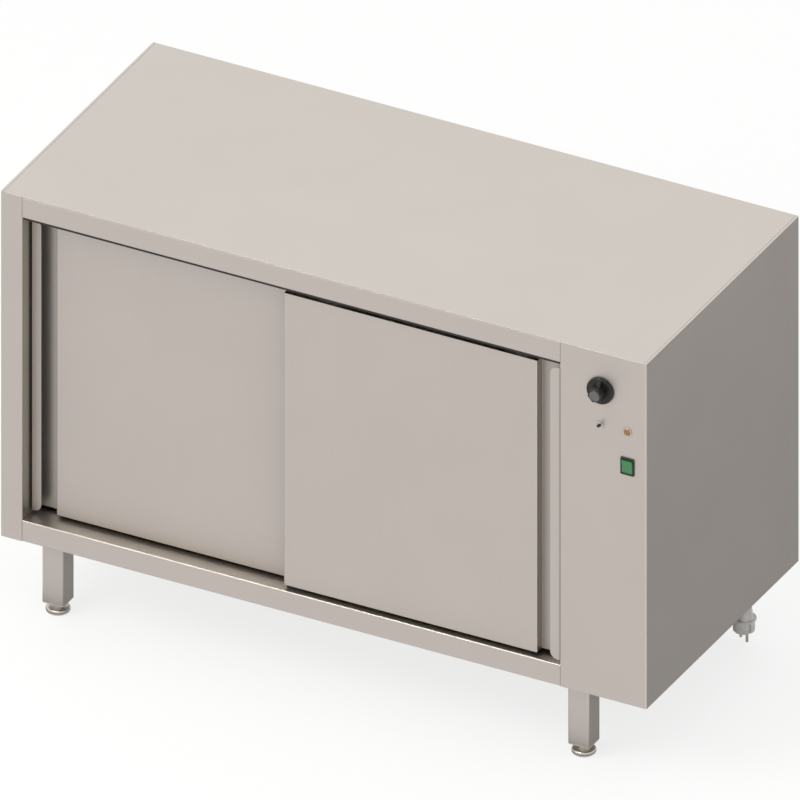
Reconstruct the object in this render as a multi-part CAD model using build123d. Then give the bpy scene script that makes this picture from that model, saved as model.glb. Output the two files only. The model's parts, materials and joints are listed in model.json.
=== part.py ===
from build123d import *
import math
import os

os.makedirs("parts", exist_ok=True)

# Cabinet coordinates, in millimetres: x from the left side, y from the front face towards the rear,
# z from the underside of the body. place() moves every piece so that the origin lies on the floor
# under the middle of the cabinet, knob included.

# ---- driving dimensions ----
WIDTH = 1200.0              # body, left side to right side
DEPTH = 540.0               # body, front face to rear face
HEIGHT = 660.0              # body, underside to worktop
LEG_HEIGHT = 150.0          # floor to the underside of the body

SHEET = 1.2                 # body and lining sheet
BEND = 1.0                  # inner radius of a fold in that sheet
SEAM = 0.4                  # open seam between two body sheets
FLUSH = 0.3                 # gap between pieces that only lie beside each other

STILE_WIDTH = 40.0          # left front stile
STILE_RETURN = 28.0         # depth of the fold that runs back from each side of the opening
TOP_RAIL_HEIGHT = 40.0
TOP_RAIL_HEM = 8.0
SILL_HEIGHT = 40.0          # bottom rail, and the height of the chamber floor
SILL_DEPTH = 58.0
RAIL_FOLD = 20.0
CONTROL_WIDTH = 160.0       # front of the control box
SIDE_TOP_FLANGE = 4.5
GROUND_EDGE = 0.3           # rounding of an edge that is ground
REAR_FOLD = 20.0
REAR_CAVITY = 25.0          # insulation behind the chamber

DOOR_THICKNESS = 19.0
DOOR_SHEET = 1.0
DOOR_BEND = 1.0
DOOR_EDGE = 0.7             # rounding of the skin's upper edge
DOOR_FACE_Y = 8.0           # face of the front door
DOOR_PITCH = 24.0           # from one door to the other, front to rear
DOOR_OVERLAP = 36.0
DOOR_SIDE_GAP = 2.6
DOOR_BOTTOM_GAP = 7.0
DOOR_TOP_GAP = 14.0
LIP_WIDTH = 18.3            # raised lip at the outer edge of each door
LIP_STAND = 4.0
LIP_CORNER = 13.5
CHANNEL_WIDTH = 26.2        # finger channel beside the lip

ROLLER_RADIUS = 10.0
ROLLER_WIDTH = 5.5
ROLLER_BORE = 2.55
ROLLER_PIN = 2.5
ROLLER_SHOULDER = 4.0
ROLLER_EDGE = 0.5
ROLLER_INSET = 80.0         # from a door's end to its roller
TRACK_WALL = 2.0
TRACK_LEDGE = 6.5
TRACK_LEDGE_DROP = 24.8     # worktop underside to the ledge's running face
HANGER_THICKNESS = 2.0
HANGER_LENGTH = 44.0
HANGER_FOOT = 6.0           # foot, from the door's rear face
HANGER_UPRIGHT = 24.0
RUN_GAP = 0.1               # roller above its ledge
GUIDE_PIN_RADIUS = 3.5
GUIDE_GROOVE = 8.0
GUIDE_LENGTH = 30.0
GUIDE_BASE = 4.0
GUIDE_RISE = 5.0            # pins into the doors' grooves

SHELF_HEIGHT = 324.0        # top of the shelf above the body's underside
SHELF_LIP = 20.0
SHELF_END_GAP = 12.0
SHELF_SETBACK = 16.0
BRACKET_WIDTH = 20.0
BRACKET_HEIGHT = 32.0
BRACKET_SHEET = 1.5

LEG_SIZE = 40.0
LEG_WALL = 2.0
LEG_PLATE = 80.0
LEG_PLATE_THICKNESS = 3.0
LEG_LEFT_INSET = 79.0       # leg centre from the left side
LEG_RIGHT_INSET = 144.0     # leg centre from the right side
LEG_SETBACK = 53.0          # leg centre from the front and from the rear
FOOT_HEIGHT = 24.0
FOOT_RADIUS = 20.5
FOOT_DISC = 10.5
FOOT_ROUND = 3.7
FOOT_SOLE_ROUND = 5.0
FOOT_NECK_RADIUS = 10.0
STEM_RADIUS = 5.0
STEM_LENGTH = 45.0
STEM_CLEARANCE = 0.05
INSERT_LENGTH = 20.0
INSERT_FLANGE = 2.0

KNOB_INSET = 85.0           # from the right side
KNOB_DROP = 72.0            # from the worktop
KNOB_SKIRT_RADIUS = 24.2
KNOB_SKIRT = 4.5
KNOB_GAP = 1.0              # knob skirt to the panel
KNOB_REACH = 23.0           # front face to the end of the knob's cap
KNOB_CAP_RADIUS = 9.6
KNOB_CAP_PROUD = 0.8
KNOB_GRIP_FOOT = 14.6       # hexagon grip, centre to corner, at the skirt
KNOB_GRIP_END = 13.6        # the same at its end
KNOB_GRIP_TURN = 10.0       # degrees from level to its first corner
KNOB_GRIP_BEVEL = 0.8
POINTER_WIDTH = 8.0
POINTER_REACH = 23.4        # pointer's tip from the knob's axis
POINTER_RISE = 10.0         # its height above the skirt where it leaves the grip
KNOB_EDGE = 1.8
SHAFT_RADIUS = 3.0
SHAFT_CLEARANCE = 0.05
SHAFT_REACH = 14.4          # thermostat's shaft in front of the panel
SHAFT_END_GAP = 1.1
THERMOSTAT_SIZE = 42.0
THERMOSTAT_DEPTH = 30.0
THERMOSTAT_CORNER = 3.0

TOGGLE_INSET = 85.0
TOGGLE_DROP = 137.0
TOGGLE_NUT = 6.5
TOGGLE_NUT_HEIGHT = 2.0
TOGGLE_CASE = (12.0, 18.0, 20.0)
TOGGLE_BUSH_RADIUS = 3.4
TOGGLE_BUSH = 4.5
TOGGLE_LEVER = 10.0         # lever's end in front of the panel
TOGGLE_TILT = 12.0
TOGGLE_PIVOT = 2.5          # lever's pivot in front of the panel
TOGGLE_WALL = 0.9
TOGGLE_ROOT_RADIUS = 1.0
TOGGLE_TIP_RADIUS = 1.9
TOGGLE_PIN_RADIUS = 0.6
TOGGLE_PIN = 6.0            # cross pin, bush wall to bush wall
PIN_CLEARANCE = 0.05
SWIVEL_CLEARANCE = 0.2

PILOT_INSET = 35.0
PILOT_DROP = 138.0
PILOT_BEZEL_RADIUS = 7.5
PILOT_LENS_RADIUS = 6.2
PILOT_LENS = 4.0
PILOT_DOME = 2.5
PILOT_BEZEL = 2.0
PILOT_EDGE = 0.4
PILOT_BODY = 14.0

ROCKER_INSET = 35.0
ROCKER_DROP = 204.0
ROCKER_FRAME_WIDTH = 25.0
ROCKER_FRAME_HEIGHT = 32.0
ROCKER_FRAME_PROUD = 2.0
ROCKER_WIDTH = 19.0
ROCKER_HEIGHT = 25.0
ROCKER_GAP = 0.35
ROCKER_CORNER = 1.5
ROCKER_TILT = 3.5           # degrees either way from level
ROCKER_PIVOT = 3.0          # axle behind the panel's face
ROCKER_AXLE_RADIUS = 1.5
ROCKER_AXLE_SEAT = 0.7      # axle's end in the wall of the case
ROCKER_END = 2.9            # each end in front of the panel, the button level
ROCKER_MIDDLE = 2.2
ROCKER_EDGE = 0.8
ROCKER_DEPTH = 6.0
ROCKER_WELL = 10.0
ROCKER_CASE = 24.0
ROCKER_CASE_INSET = 1.0

FAN_Y = 290.0
FAN_RISE = 125.0            # above the chamber floor
FAN_HOLE_RADIUS = 60.0
FAN_RADIUS = 52.0
FAN_BLADES = 7
FAN_HUB_RADIUS = 15.0
FAN_SPACE = 46.0            # partition to the motor's plate
FAN_PLATE = 150.0
HEATER_RING = 68.0
HEATER_TUBE = 3.5
HEATER_LEGS = 24.0          # between the heater's two straight ends
HEATER_TAIL = 14.0          # their length behind the motor's plate
MOTOR_RADIUS = 32.0
MOTOR_LENGTH = 45.0
MOTOR_SHAFT = 30.0
POST_RADIUS = 4.0
POST_INSET = 8.0
IMPELLER_LENGTH = 24.0
IMPELLER_NOSE = 2.0
BLADE_THICKNESS = 1.5
BLADE_PITCH = 35.0          # degrees
GUARD_RIM = 8.0
GUARD_RIM_WALL = 4.0
GUARD_DEPTH = 8.0
GUARD_WIRE = 3.0
GUARD_RINGS = (18.0, 34.0, 50.0)
OUTLET_ROWS = 3
OUTLET_COLUMNS = 9
OUTLET_WIDTH = 26.0
OUTLET_HEIGHT = 8.0
OUTLET_ROW_PITCH = 45.0
OUTLET_DROP = 60.0          # below the chamber's ceiling
OUTLET_START = 50.0         # from the chamber's front, and from its rear

CORD_RADIUS = 3.5
CLIP_WIDTH = 8.0
CLIP_BAND = 1.4
CLIP_REACH = 22.0
CLIP_CLEARANCE = 0.15
GLAND_INSET = 80.0          # from the right side
GLAND_Y = 300.0
GLAND_RADIUS = 11.0
GLAND_LENGTH = 26.0
GLAND_HEXAGON = 7.0
GLAND_BARREL = 9.0
GLAND_BARREL_RADIUS = 9.0
GLAND_THREAD = 9.0          # above the floor pan
GLAND_THREAD_RADIUS = 7.7
GLAND_NUT = 5.0
GLAND_NUT_RADIUS = 11.5
NECK_WALL = 1.2             # rubber around the lead at the end of a neck
COIL_OFFSET = (-135.0, 30.0)    # coil's centre from the gland
COIL_RADIUS = 41.0          # middle of the turns
COIL_LAYERS = 2             # turns across and turns high
COIL_GAP = 0.8              # turns above the floor
PLUG_OFFSET = (3.2, 191.2)      # plug's axis from the gland
PLUG_FLANGE_Z = -106.5
PLUG_TURN = -30.0           # pin line, about the vertical
PLUG_RADIUS = 18.25
PLUG_FLANGE_RADIUS = 21.0
PLUG_FACE = 21.5            # flange to the plug's face
PLUG_PIN_RADIUS = 2.4
PLUG_PIN = 19.0
PLUG_PITCH = 19.0
PLUG_PIN_SEAT = 8.0
PLUG_PIN_ROUND = 1.4
PLUG_EDGE = 1.2
PLUG_FLANGE_FRONT = 1.5
PLUG_FLANGE_BACK = 3.0
PLUG_FLANGE_EDGE = 1.0
PLUG_GRIP = 34.0
PLUG_GRIP_FOOT = (34.0, 26.0, 9.0)      # width, depth and corner radius at the flange
PLUG_GRIP_END = (24.0, 19.0, 8.0)       # the same at the neck
PLUG_NECK = 14.0
PLUG_NECK_RADIUS = 7.5
EARTH_WIDTH = 4.8
EARTH_DEPTH = 2.2
GUIDE_SLOT_WIDTH = 6.4
GUIDE_SLOT_DEPTH = 1.6
GUIDE_SLOT_START = 4.0

# ---- places that follow from them ----
TOP = HEIGHT - SHEET                        # underside of the worktop
OPEN_LEFT = STILE_WIDTH
OPEN_RIGHT = WIDTH - CONTROL_WIDTH
OPEN_MIDDLE = (OPEN_LEFT + OPEN_RIGHT) / 2
OPEN_TOP = HEIGHT - TOP_RAIL_HEIGHT
CHAMBER_FRONT = SILL_DEPTH + FLUSH
CHAMBER_REAR = DEPTH - REAR_CAVITY
FLOOR = -LEG_HEIGHT
DOOR_RIGHT_END = OPEN_RIGHT - DOOR_SIDE_GAP
DOOR_LEFT_END = OPEN_MIDDLE - DOOR_OVERLAP / 2
DOOR_BOTTOM = SILL_HEIGHT + DOOR_BOTTOM_GAP
DOOR_TOP = OPEN_TOP - DOOR_TOP_GAP
DOOR_BACK_Y = DOOR_FACE_Y + DOOR_THICKNESS
DOOR_MIDDLE_Y = DOOR_FACE_Y + DOOR_THICKNESS / 2
LEDGE_Z = TOP - TRACK_LEDGE_DROP
ROLLER_Z = LEDGE_Z + ROLLER_RADIUS + RUN_GAP
PARTITION_BACK = OPEN_RIGHT + SHEET
OUTLET_BAND = CHAMBER_REAR - CHAMBER_FRONT - 2 * OUTLET_START
OUTLET_PITCH = (OUTLET_BAND - OUTLET_WIDTH) / (OUTLET_COLUMNS - 1)
LEG_LEFT_X = LEG_LEFT_INSET
LEG_RIGHT_X = WIDTH - LEG_RIGHT_INSET
KNOB_X = WIDTH - KNOB_INSET
KNOB_Z = HEIGHT - KNOB_DROP
TOGGLE_X = WIDTH - TOGGLE_INSET
TOGGLE_Z = HEIGHT - TOGGLE_DROP
PILOT_X = WIDTH - PILOT_INSET
PILOT_Z = HEIGHT - PILOT_DROP
ROCKER_X = WIDTH - ROCKER_INSET
ROCKER_Z = HEIGHT - ROCKER_DROP
FAN_Z = SILL_HEIGHT + FAN_RISE
GLAND_X = WIDTH - GLAND_INSET
COIL_X = GLAND_X + COIL_OFFSET[0]
COIL_Y = GLAND_Y + COIL_OFFSET[1]
PLUG_X = GLAND_X + PLUG_OFFSET[0]
PLUG_Y = GLAND_Y + PLUG_OFFSET[1]


# ---- helpers ----
ON_END = (Align.CENTER, Align.CENTER, Align.MIN)


def block(x0, x1, y0, y1, z0, z1):
    """A box between two corners."""
    middle = Pos((x0 + x1) / 2, (y0 + y1) / 2, (z0 + z1) / 2)
    return middle * Box(x1 - x0, y1 - y0, z1 - z0)


def rod(start, direction, radius, length):
    """A round bar from start along direction."""
    plane = Plane(origin=start, z_dir=direction)
    return plane * Cylinder(radius, length, align=ON_END)


def ring(start, direction, outer, inner, length):
    """A tube from start along direction."""
    return rod(start, direction, outer, length) - rod(start, direction, inner, length)


def strip(points, thickness, bend):
    """The section of a folded sheet: points follow its right-hand face, and every fold is square."""
    count = len(points)
    headings = []
    for (x0, y0), (x1, y1) in zip(points, points[1:]):
        run = math.hypot(x1 - x0, y1 - y0)
        headings.append(((x1 - x0) / run, (y1 - y0) / run))
    far_side = []
    rounds = []
    for i, (x, y) in enumerate(points):
        before = headings[max(i - 1, 0)]
        after = headings[min(i, count - 2)]
        corner = 0 < i < count - 1
        shift_x = -after[1] * thickness - (before[1] * thickness if corner else 0)
        shift_y = after[0] * thickness + (before[0] * thickness if corner else 0)
        far = (x + shift_x, y + shift_y)
        far_side.append(far)
        if corner:
            left_turn = before[0] * after[1] - before[1] * after[0] > 0
            rounds.append(((x, y), bend + thickness if left_turn else bend))
            rounds.append((far, bend if left_turn else bend + thickness))
    face = make_face(Polyline(*points, *reversed(far_side), close=True))
    for (x, y), radius in rounds:
        corner = face.vertices().sort_by_distance((x, y, 0))[0]
        face = fillet(corner, radius)
    return face


def folded_upright(points, thickness, bend, low, high):
    """A sheet folded along vertical lines, its section drawn in x and y."""
    return Pos(0, 0, low) * extrude(strip(points, thickness, bend), high - low, dir=(0, 0, 1))


def folded_level(points, thickness, bend, left, right):
    """A sheet folded along lines from left to right, its section drawn in y and z."""
    section = Plane.YZ * strip(points, thickness, bend)
    return Pos(left, 0, 0) * extrude(section, right - left, dir=(1, 0, 0))


def place(piece):
    """Moves a piece from cabinet coordinates to the part's own frame."""
    return Pos(-WIDTH / 2, (KNOB_REACH - DEPTH) / 2, LEG_HEIGHT) * piece


def save(name, *solids):
    """Writes one node, as one solid or as a group of separate solids."""
    placed = [place(solid) for piece in solids for solid in piece.solids()]
    export_step(placed[0] if len(placed) == 1 else Compound(placed), f"parts/{name}.step")


# ---- body sheets ----
def side_flange(x0, x1):
    """The narrow fold on top of a side, with the body's rounded plan corners."""
    plan = Pos(WIDTH / 2, DEPTH / 2) * RectangleRounded(WIDTH, DEPTH, BEND + SHEET)
    band = Pos(0, 0, TOP) * extrude(plan, SHEET, dir=(0, 0, 1))
    return band & block(x0, x1, 0, DEPTH, TOP, HEIGHT)


def side_panel_left():
    """Stile, side and rear fold in one sheet."""
    outline = [
        (REAR_FOLD, DEPTH),
        (0, DEPTH),
        (0, 0),
        (STILE_WIDTH, 0),
        (STILE_WIDTH, STILE_RETURN),
    ]
    sheet = folded_upright(outline, SHEET, BEND, 0, TOP)
    return sheet + side_flange(0, SIDE_TOP_FLANGE)


def control_box_panel():
    """Front of the control box, right side and rear fold in one sheet, cut for the controls.

    The fold beside the doors is welded full and ground square.
    """
    outline = [
        (OPEN_RIGHT, STILE_RETURN),
        (OPEN_RIGHT, 0),
        (WIDTH, 0),
        (WIDTH, DEPTH),
        (WIDTH - REAR_FOLD, DEPTH),
    ]
    sheet = folded_upright(outline, SHEET, BEND, 0, TOP)
    weld = SHEET + BEND
    sheet += block(OPEN_RIGHT, OPEN_RIGHT + weld, 0, weld, 0, TOP)
    corner = sheet.edges().filter_by(Axis.Z).sort_by_distance((OPEN_RIGHT, 0, TOP / 2))[0]
    sheet = fillet(corner, GROUND_EDGE)
    sheet += side_flange(WIDTH - SIDE_TOP_FLANGE, WIDTH)
    back = (0, 1, 0)
    sheet -= rod((KNOB_X, 0, KNOB_Z), back, SHAFT_RADIUS + KNOB_GAP, SHEET)
    sheet -= rod((TOGGLE_X, 0, TOGGLE_Z), back, TOGGLE_BUSH_RADIUS + FLUSH / 2, SHEET)
    sheet -= rod((PILOT_X, 0, PILOT_Z), back, PILOT_LENS_RADIUS + FLUSH, SHEET)
    half_width = ROCKER_FRAME_WIDTH / 2 - ROCKER_CASE_INSET + FLUSH
    half_height = ROCKER_FRAME_HEIGHT / 2 - ROCKER_CASE_INSET + FLUSH
    sheet -= block(ROCKER_X - half_width, ROCKER_X + half_width, 0, SHEET,
                   ROCKER_Z - half_height, ROCKER_Z + half_height)
    return sheet


def worktop():
    """The flat top sheet between the side flanges, its front edge slightly rounded."""
    inset = SIDE_TOP_FLANGE + SEAM
    plate = block(inset, WIDTH - inset, 0, DEPTH, TOP, HEIGHT)
    front_edge = plate.edges().filter_by(Axis.X).group_by(Axis.Z)[-1].sort_by(Axis.Y)[0]
    return fillet(front_edge, GROUND_EDGE)


def back_panel():
    """The rear sheet, inside the rear folds of the two sides."""
    outer = DEPTH - SHEET
    corner = SHEET + BEND
    return block(corner, WIDTH - corner, outer - SHEET, outer, SHEET, TOP)


def floor_pan():
    """The underside, notched for the bottom rail's fold and holed for the cord gland."""
    pan = block(SHEET, WIDTH - SHEET, SHEET, DEPTH - SHEET, 0, SHEET)
    notch_left = STILE_WIDTH - SHEET - BEND
    notch_right = OPEN_RIGHT + SHEET + BEND
    pan -= block(notch_left, notch_right, 0, RAIL_FOLD + SEAM, 0, SHEET)
    pan -= block(notch_left, STILE_WIDTH + SEAM, 0, STILE_RETURN + SEAM, 0, SHEET)
    pan -= block(OPEN_RIGHT - SEAM, notch_right, 0, STILE_RETURN + SEAM, 0, SHEET)
    pan -= rod((GLAND_X, GLAND_Y, 0), (0, 0, 1), GLAND_THREAD_RADIUS + SEAM, SHEET)
    corner = BEND + SHEET
    for x in (0, WIDTH):
        for y in (0, DEPTH):
            pan -= block(x - corner, x + corner, y - corner, y + corner, 0, SHEET)
    return pan


def top_rail():
    """The fascia above the doors, hemmed behind at both edges."""
    outline = [(TOP_RAIL_HEM, TOP), (0, TOP), (0, OPEN_TOP), (TOP_RAIL_HEM, OPEN_TOP)]
    return folded_level(outline, SHEET, BEND, OPEN_LEFT + SEAM, OPEN_RIGHT - SEAM)


def bottom_rail():
    """The rail below the doors, running back as the sill that they pass over."""
    outline = [(SILL_DEPTH, SILL_HEIGHT), (0, SILL_HEIGHT), (0, 0), (RAIL_FOLD, 0)]
    return folded_level(outline, SHEET, BEND, OPEN_LEFT + SEAM, OPEN_RIGHT - SEAM)


# ---- chamber ----
def lining_side(x):
    """An upright lining sheet whose left face is at x."""
    front = STILE_RETURN + SEAM
    return block(x, x + SHEET, front, CHAMBER_REAR, SILL_HEIGHT - SHEET, TOP)


def lining_right():
    """The partition to the control box, with the fan's intake and rows of air outlets."""
    sheet = lining_side(OPEN_RIGHT)
    sheet -= rod((OPEN_RIGHT, FAN_Y, FAN_Z), (1, 0, 0), FAN_HOLE_RADIUS, SHEET)
    for row in range(OUTLET_ROWS):
        for column in range(OUTLET_COLUMNS):
            y = CHAMBER_FRONT + OUTLET_START + OUTLET_PITCH * column
            z = OPEN_TOP - OUTLET_DROP - OUTLET_ROW_PITCH * row
            sheet -= block(OPEN_RIGHT, PARTITION_BACK, y, y + OUTLET_WIDTH, z, z + OUTLET_HEIGHT)
    return sheet


def insulation():
    """Mineral wool boards in the left, rear, top and bottom cavities."""
    inner_rear = DEPTH - 2 * SHEET
    left = block(SHEET, OPEN_LEFT - SHEET, STILE_RETURN + FLUSH, inner_rear, SHEET, TOP)
    rear = block(OPEN_LEFT, OPEN_RIGHT, CHAMBER_REAR, inner_rear, SHEET, TOP)
    top = block(OPEN_LEFT, OPEN_RIGHT, track_rear() + FLUSH, CHAMBER_REAR - SHEET, OPEN_TOP + SHEET, TOP)
    bottom = block(OPEN_LEFT, OPEN_RIGHT, CHAMBER_FRONT, CHAMBER_REAR - SHEET, SHEET, SILL_HEIGHT - SHEET)
    return [left, rear, top, bottom]


def track_rear():
    """Rear face of the door track."""
    return DOOR_FACE_Y + 2 * DOOR_PITCH + TRACK_WALL


def chamber():
    """The lining sheets, the boards behind them and the shelf."""
    save("lining_left", lining_side(OPEN_LEFT - SHEET))
    save("lining_right", lining_right())
    low = SILL_HEIGHT - SHEET
    high = OPEN_TOP + SHEET
    front = track_rear() + FLUSH
    rear = CHAMBER_REAR - SHEET
    save("lining_rear", block(OPEN_LEFT, OPEN_RIGHT, rear, CHAMBER_REAR, low, high))
    save("lining_ceiling", block(OPEN_LEFT, OPEN_RIGHT, front, rear, OPEN_TOP, high))
    save("lining_floor", block(OPEN_LEFT, OPEN_RIGHT, CHAMBER_FRONT, rear, low, SILL_HEIGHT))
    save("insulation", *insulation())
    shelf_front = CHAMBER_FRONT + SHELF_SETBACK
    shelf_rear = CHAMBER_REAR - SHELF_SETBACK
    low = SHELF_HEIGHT - SHELF_LIP
    outline = [(shelf_rear, low), (shelf_rear, SHELF_HEIGHT), (shelf_front, SHELF_HEIGHT), (shelf_front, low)]
    ends = (OPEN_LEFT + SHELF_END_GAP, OPEN_RIGHT - SHELF_END_GAP)
    save("shelf", folded_level(outline, SHEET, BEND, *ends))
    seat = SHELF_HEIGHT - SHEET
    angle_front = shelf_front + SHELF_SETBACK / 2
    angle_rear = shelf_rear - SHELF_SETBACK / 2
    angles = []
    for wall, inward in ((OPEN_LEFT, 1), (OPEN_RIGHT, -1)):
        near = sorted((wall, wall + inward * BRACKET_SHEET))
        wide = sorted((wall, wall + inward * BRACKET_WIDTH))
        upright = block(*near, angle_front, angle_rear, seat - BRACKET_HEIGHT, seat)
        angles.append(upright + block(*wide, angle_front, angle_rear, seat - BRACKET_SHEET, seat))
    save("shelf_brackets", *angles)


# ---- doors: the right one runs in front, and the left one is its mirror image one pitch behind ----
def door_skin():
    """Outer skin of the right door: flat face, finger channel and raised lip in one sheet."""
    lip_back = DOOR_FACE_Y - LIP_STAND + DOOR_SHEET
    channel_floor = DOOR_BACK_Y - 2 * DOOR_SHEET
    lip_edge = DOOR_RIGHT_END - LIP_WIDTH
    channel_edge = lip_edge - CHANNEL_WIDTH
    end = DOOR_RIGHT_END - DOOR_SHEET
    outline = [
        (DOOR_LEFT_END, DOOR_BACK_Y - DOOR_SHEET),
        (DOOR_LEFT_END, DOOR_FACE_Y),
        (channel_edge, DOOR_FACE_Y),
        (channel_edge, channel_floor),
        (end, channel_floor),
        (end, lip_back),
        (lip_edge, lip_back),
    ]
    skin = folded_upright(outline, DOOR_SHEET, DOOR_BEND, DOOR_BOTTOM, DOOR_TOP)
    ends = [
        edge
        for edge in skin.edges().filter_by(Axis.Y)
        if abs(edge.center().X - lip_edge) < DOOR_SHEET and edge.center().Y < DOOR_FACE_Y
    ]
    skin = fillet(ends, min(LIP_CORNER, LIP_WIDTH - DOOR_BEND - 2 * DOOR_SHEET))
    top_edges = skin.edges().filter_by(Axis.X).group_by(Axis.Z)[-1]
    face_edge = [
        edge
        for edge in top_edges
        if edge.length > CHANNEL_WIDTH and abs(edge.center().Y - DOOR_FACE_Y) < DOOR_SHEET / 2
    ]
    return fillet(face_edge, DOOR_EDGE)


def door_back():
    """Inner skin of the right door, folded forward above and, either side of the groove, below."""
    front = DOOR_FACE_Y + DOOR_SHEET
    back = DOOR_BACK_Y
    inner_left = DOOR_LEFT_END + DOOR_SHEET + DOOR_BEND
    inner_right = DOOR_RIGHT_END - LIP_WIDTH - CHANNEL_WIDTH - DOOR_SHEET - DOOR_BEND
    low = DOOR_BOTTOM
    sheet = block(DOOR_LEFT_END, DOOR_RIGHT_END, back - DOOR_SHEET, back, low, DOOR_TOP)
    sheet += block(inner_left, inner_right, front, back, DOOR_TOP - DOOR_SHEET, DOOR_TOP)
    sheet += block(inner_left, inner_right, front, back, low, low + DOOR_SHEET)
    groove = DOOR_MIDDLE_Y - GUIDE_GROOVE / 2
    return sheet - block(inner_left, inner_right, groove, groove + GUIDE_GROOVE, low, low + DOOR_SHEET)


def door_core():
    """Insulating core of the right door, grooved below for the guide pin."""
    left = DOOR_LEFT_END + DOOR_SHEET + DOOR_BEND
    right = DOOR_RIGHT_END - LIP_WIDTH - CHANNEL_WIDTH - DOOR_SHEET - DOOR_BEND
    front = DOOR_FACE_Y + DOOR_SHEET
    low = DOOR_BOTTOM + DOOR_SHEET
    core = block(left, right, front, DOOR_BACK_Y - DOOR_SHEET, low, DOOR_TOP - DOOR_SHEET)
    half = GUIDE_GROOVE / 2 + FLUSH
    return core - block(left, right, DOOR_MIDDLE_Y - half, DOOR_MIDDLE_Y + half, low, low + GUIDE_GROOVE)


def roller_front():
    """Front face of the right door's rollers."""
    return DOOR_FACE_Y + TRACK_WALL + 2 * FLUSH


def roller_places():
    """Where the right door's two rollers stand along it."""
    return (DOOR_LEFT_END + ROLLER_INSET, DOOR_RIGHT_END - ROLLER_INSET)


def door_hangers():
    """Two angle hangers on top of the right door, the foot turned to the rear, each with its roller pin."""
    plate_y = DOOR_BACK_Y - HANGER_FOOT
    hangers = []
    for x in roller_places():
        half = HANGER_LENGTH / 2
        foot_top = DOOR_TOP + HANGER_THICKNESS
        foot = block(x - half, x + half, plate_y, DOOR_BACK_Y, DOOR_TOP, foot_top)
        upright_top = ROLLER_Z + 2 * ROLLER_PIN
        side = HANGER_UPRIGHT / 2
        upright = block(x - side, x + side, plate_y, plate_y + HANGER_THICKNESS, DOOR_TOP, upright_top)
        axis = (0, 1, 0)
        pin_y = roller_front() - FLUSH
        pin = rod((x, pin_y, ROLLER_Z), axis, ROLLER_PIN, plate_y - pin_y)
        shoulder_y = roller_front() + ROLLER_WIDTH + FLUSH
        shoulder = rod((x, shoulder_y, ROLLER_Z), axis, ROLLER_SHOULDER, plate_y - shoulder_y)
        hangers.append(foot + upright + pin + shoulder)
    return hangers


def door_roller(x):
    """One grooved roller, free on its pin."""
    axis = (0, 1, 0)
    start = (x, roller_front(), ROLLER_Z)
    wheel = rod(start, axis, ROLLER_RADIUS, ROLLER_WIDTH)
    wheel = chamfer(wheel.edges().filter_by(GeomType.CIRCLE), ROLLER_EDGE)
    return wheel - rod(start, axis, ROLLER_BORE, ROLLER_WIDTH)


def doors():
    """Both doors with their running gear."""
    pieces = {"skin": [door_skin()], "back": [door_back()], "core": [door_core()], "hangers": door_hangers()}
    near_middle, near_end = roller_places()
    pieces["roller_inner"] = [door_roller(near_middle)]
    pieces["roller_outer"] = [door_roller(near_end)]
    swap = Pos(2 * OPEN_MIDDLE, DOOR_PITCH, 0)
    for name, solids in pieces.items():
        save(f"door_right_{name}", *solids)
        save(f"door_left_{name}", *[swap * mirror(solid, about=Plane.YZ) for solid in solids])


def door_track():
    """Double track under the worktop: three webs, and a ledge for each door's rollers."""
    left = OPEN_LEFT + FLUSH
    right = OPEN_RIGHT - FLUSH
    rear = track_rear()
    track = block(left, right, DOOR_FACE_Y, rear, TOP - TRACK_WALL, TOP)
    low = LEDGE_Z - TRACK_WALL
    for lane in range(3):
        web = DOOR_FACE_Y + lane * DOOR_PITCH
        track += block(left, right, web, web + TRACK_WALL, low, TOP)
        if lane < 2:
            track += block(left, right, web, web + TRACK_WALL + TRACK_LEDGE, low, LEDGE_Z)
    return track


def floor_guide():
    """Nylon block screwed to the sill under the doors' overlap, a pin standing in each door's groove."""
    half = GUIDE_LENGTH / 2
    front = DOOR_MIDDLE_Y - GUIDE_PIN_RADIUS
    rear = DOOR_MIDDLE_Y + DOOR_PITCH + GUIDE_PIN_RADIUS
    base_top = SILL_HEIGHT + GUIDE_BASE
    guide = block(OPEN_MIDDLE - half, OPEN_MIDDLE + half, front, rear, SILL_HEIGHT, base_top)
    for y in (DOOR_MIDDLE_Y, DOOR_MIDDLE_Y + DOOR_PITCH):
        guide += rod((OPEN_MIDDLE, y, SILL_HEIGHT), (0, 0, 1), GUIDE_PIN_RADIUS, DOOR_BOTTOM_GAP + GUIDE_RISE)
    return guide


# ---- legs and feet ----
def leg(x, y):
    """A square tube welded under its fastening plate."""
    low = FLOOR + FOOT_HEIGHT
    half = LEG_SIZE / 2
    high = -LEG_PLATE_THICKNESS
    tube = Pos(x, y, low) * extrude(RectangleRounded(LEG_SIZE, LEG_SIZE, 2 * LEG_WALL), high - low)
    inside = half - LEG_WALL
    tube -= block(x - inside, x + inside, y - inside, y + inside, low, high)
    wide = LEG_PLATE / 2
    return tube + block(x - wide, x + wide, y - wide, y + wide, high, 0)


def leg_insert(x, y):
    """The threaded plug in the end of a leg, flanged below the tube."""
    low = FLOOR + FOOT_HEIGHT
    inside = LEG_SIZE / 2 - LEG_WALL
    plug = block(x - inside, x + inside, y - inside, y + inside, low, low + INSERT_LENGTH)
    outline = RectangleRounded(LEG_SIZE, LEG_SIZE, 2 * LEG_WALL)
    plug += Pos(x, y, low - INSERT_FLANGE) * extrude(outline, INSERT_FLANGE)
    bore = STEM_RADIUS + STEM_CLEARANCE
    return plug - rod((x, y, low - INSERT_FLANGE), (0, 0, 1), bore, INSERT_LENGTH + INSERT_FLANGE)


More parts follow.
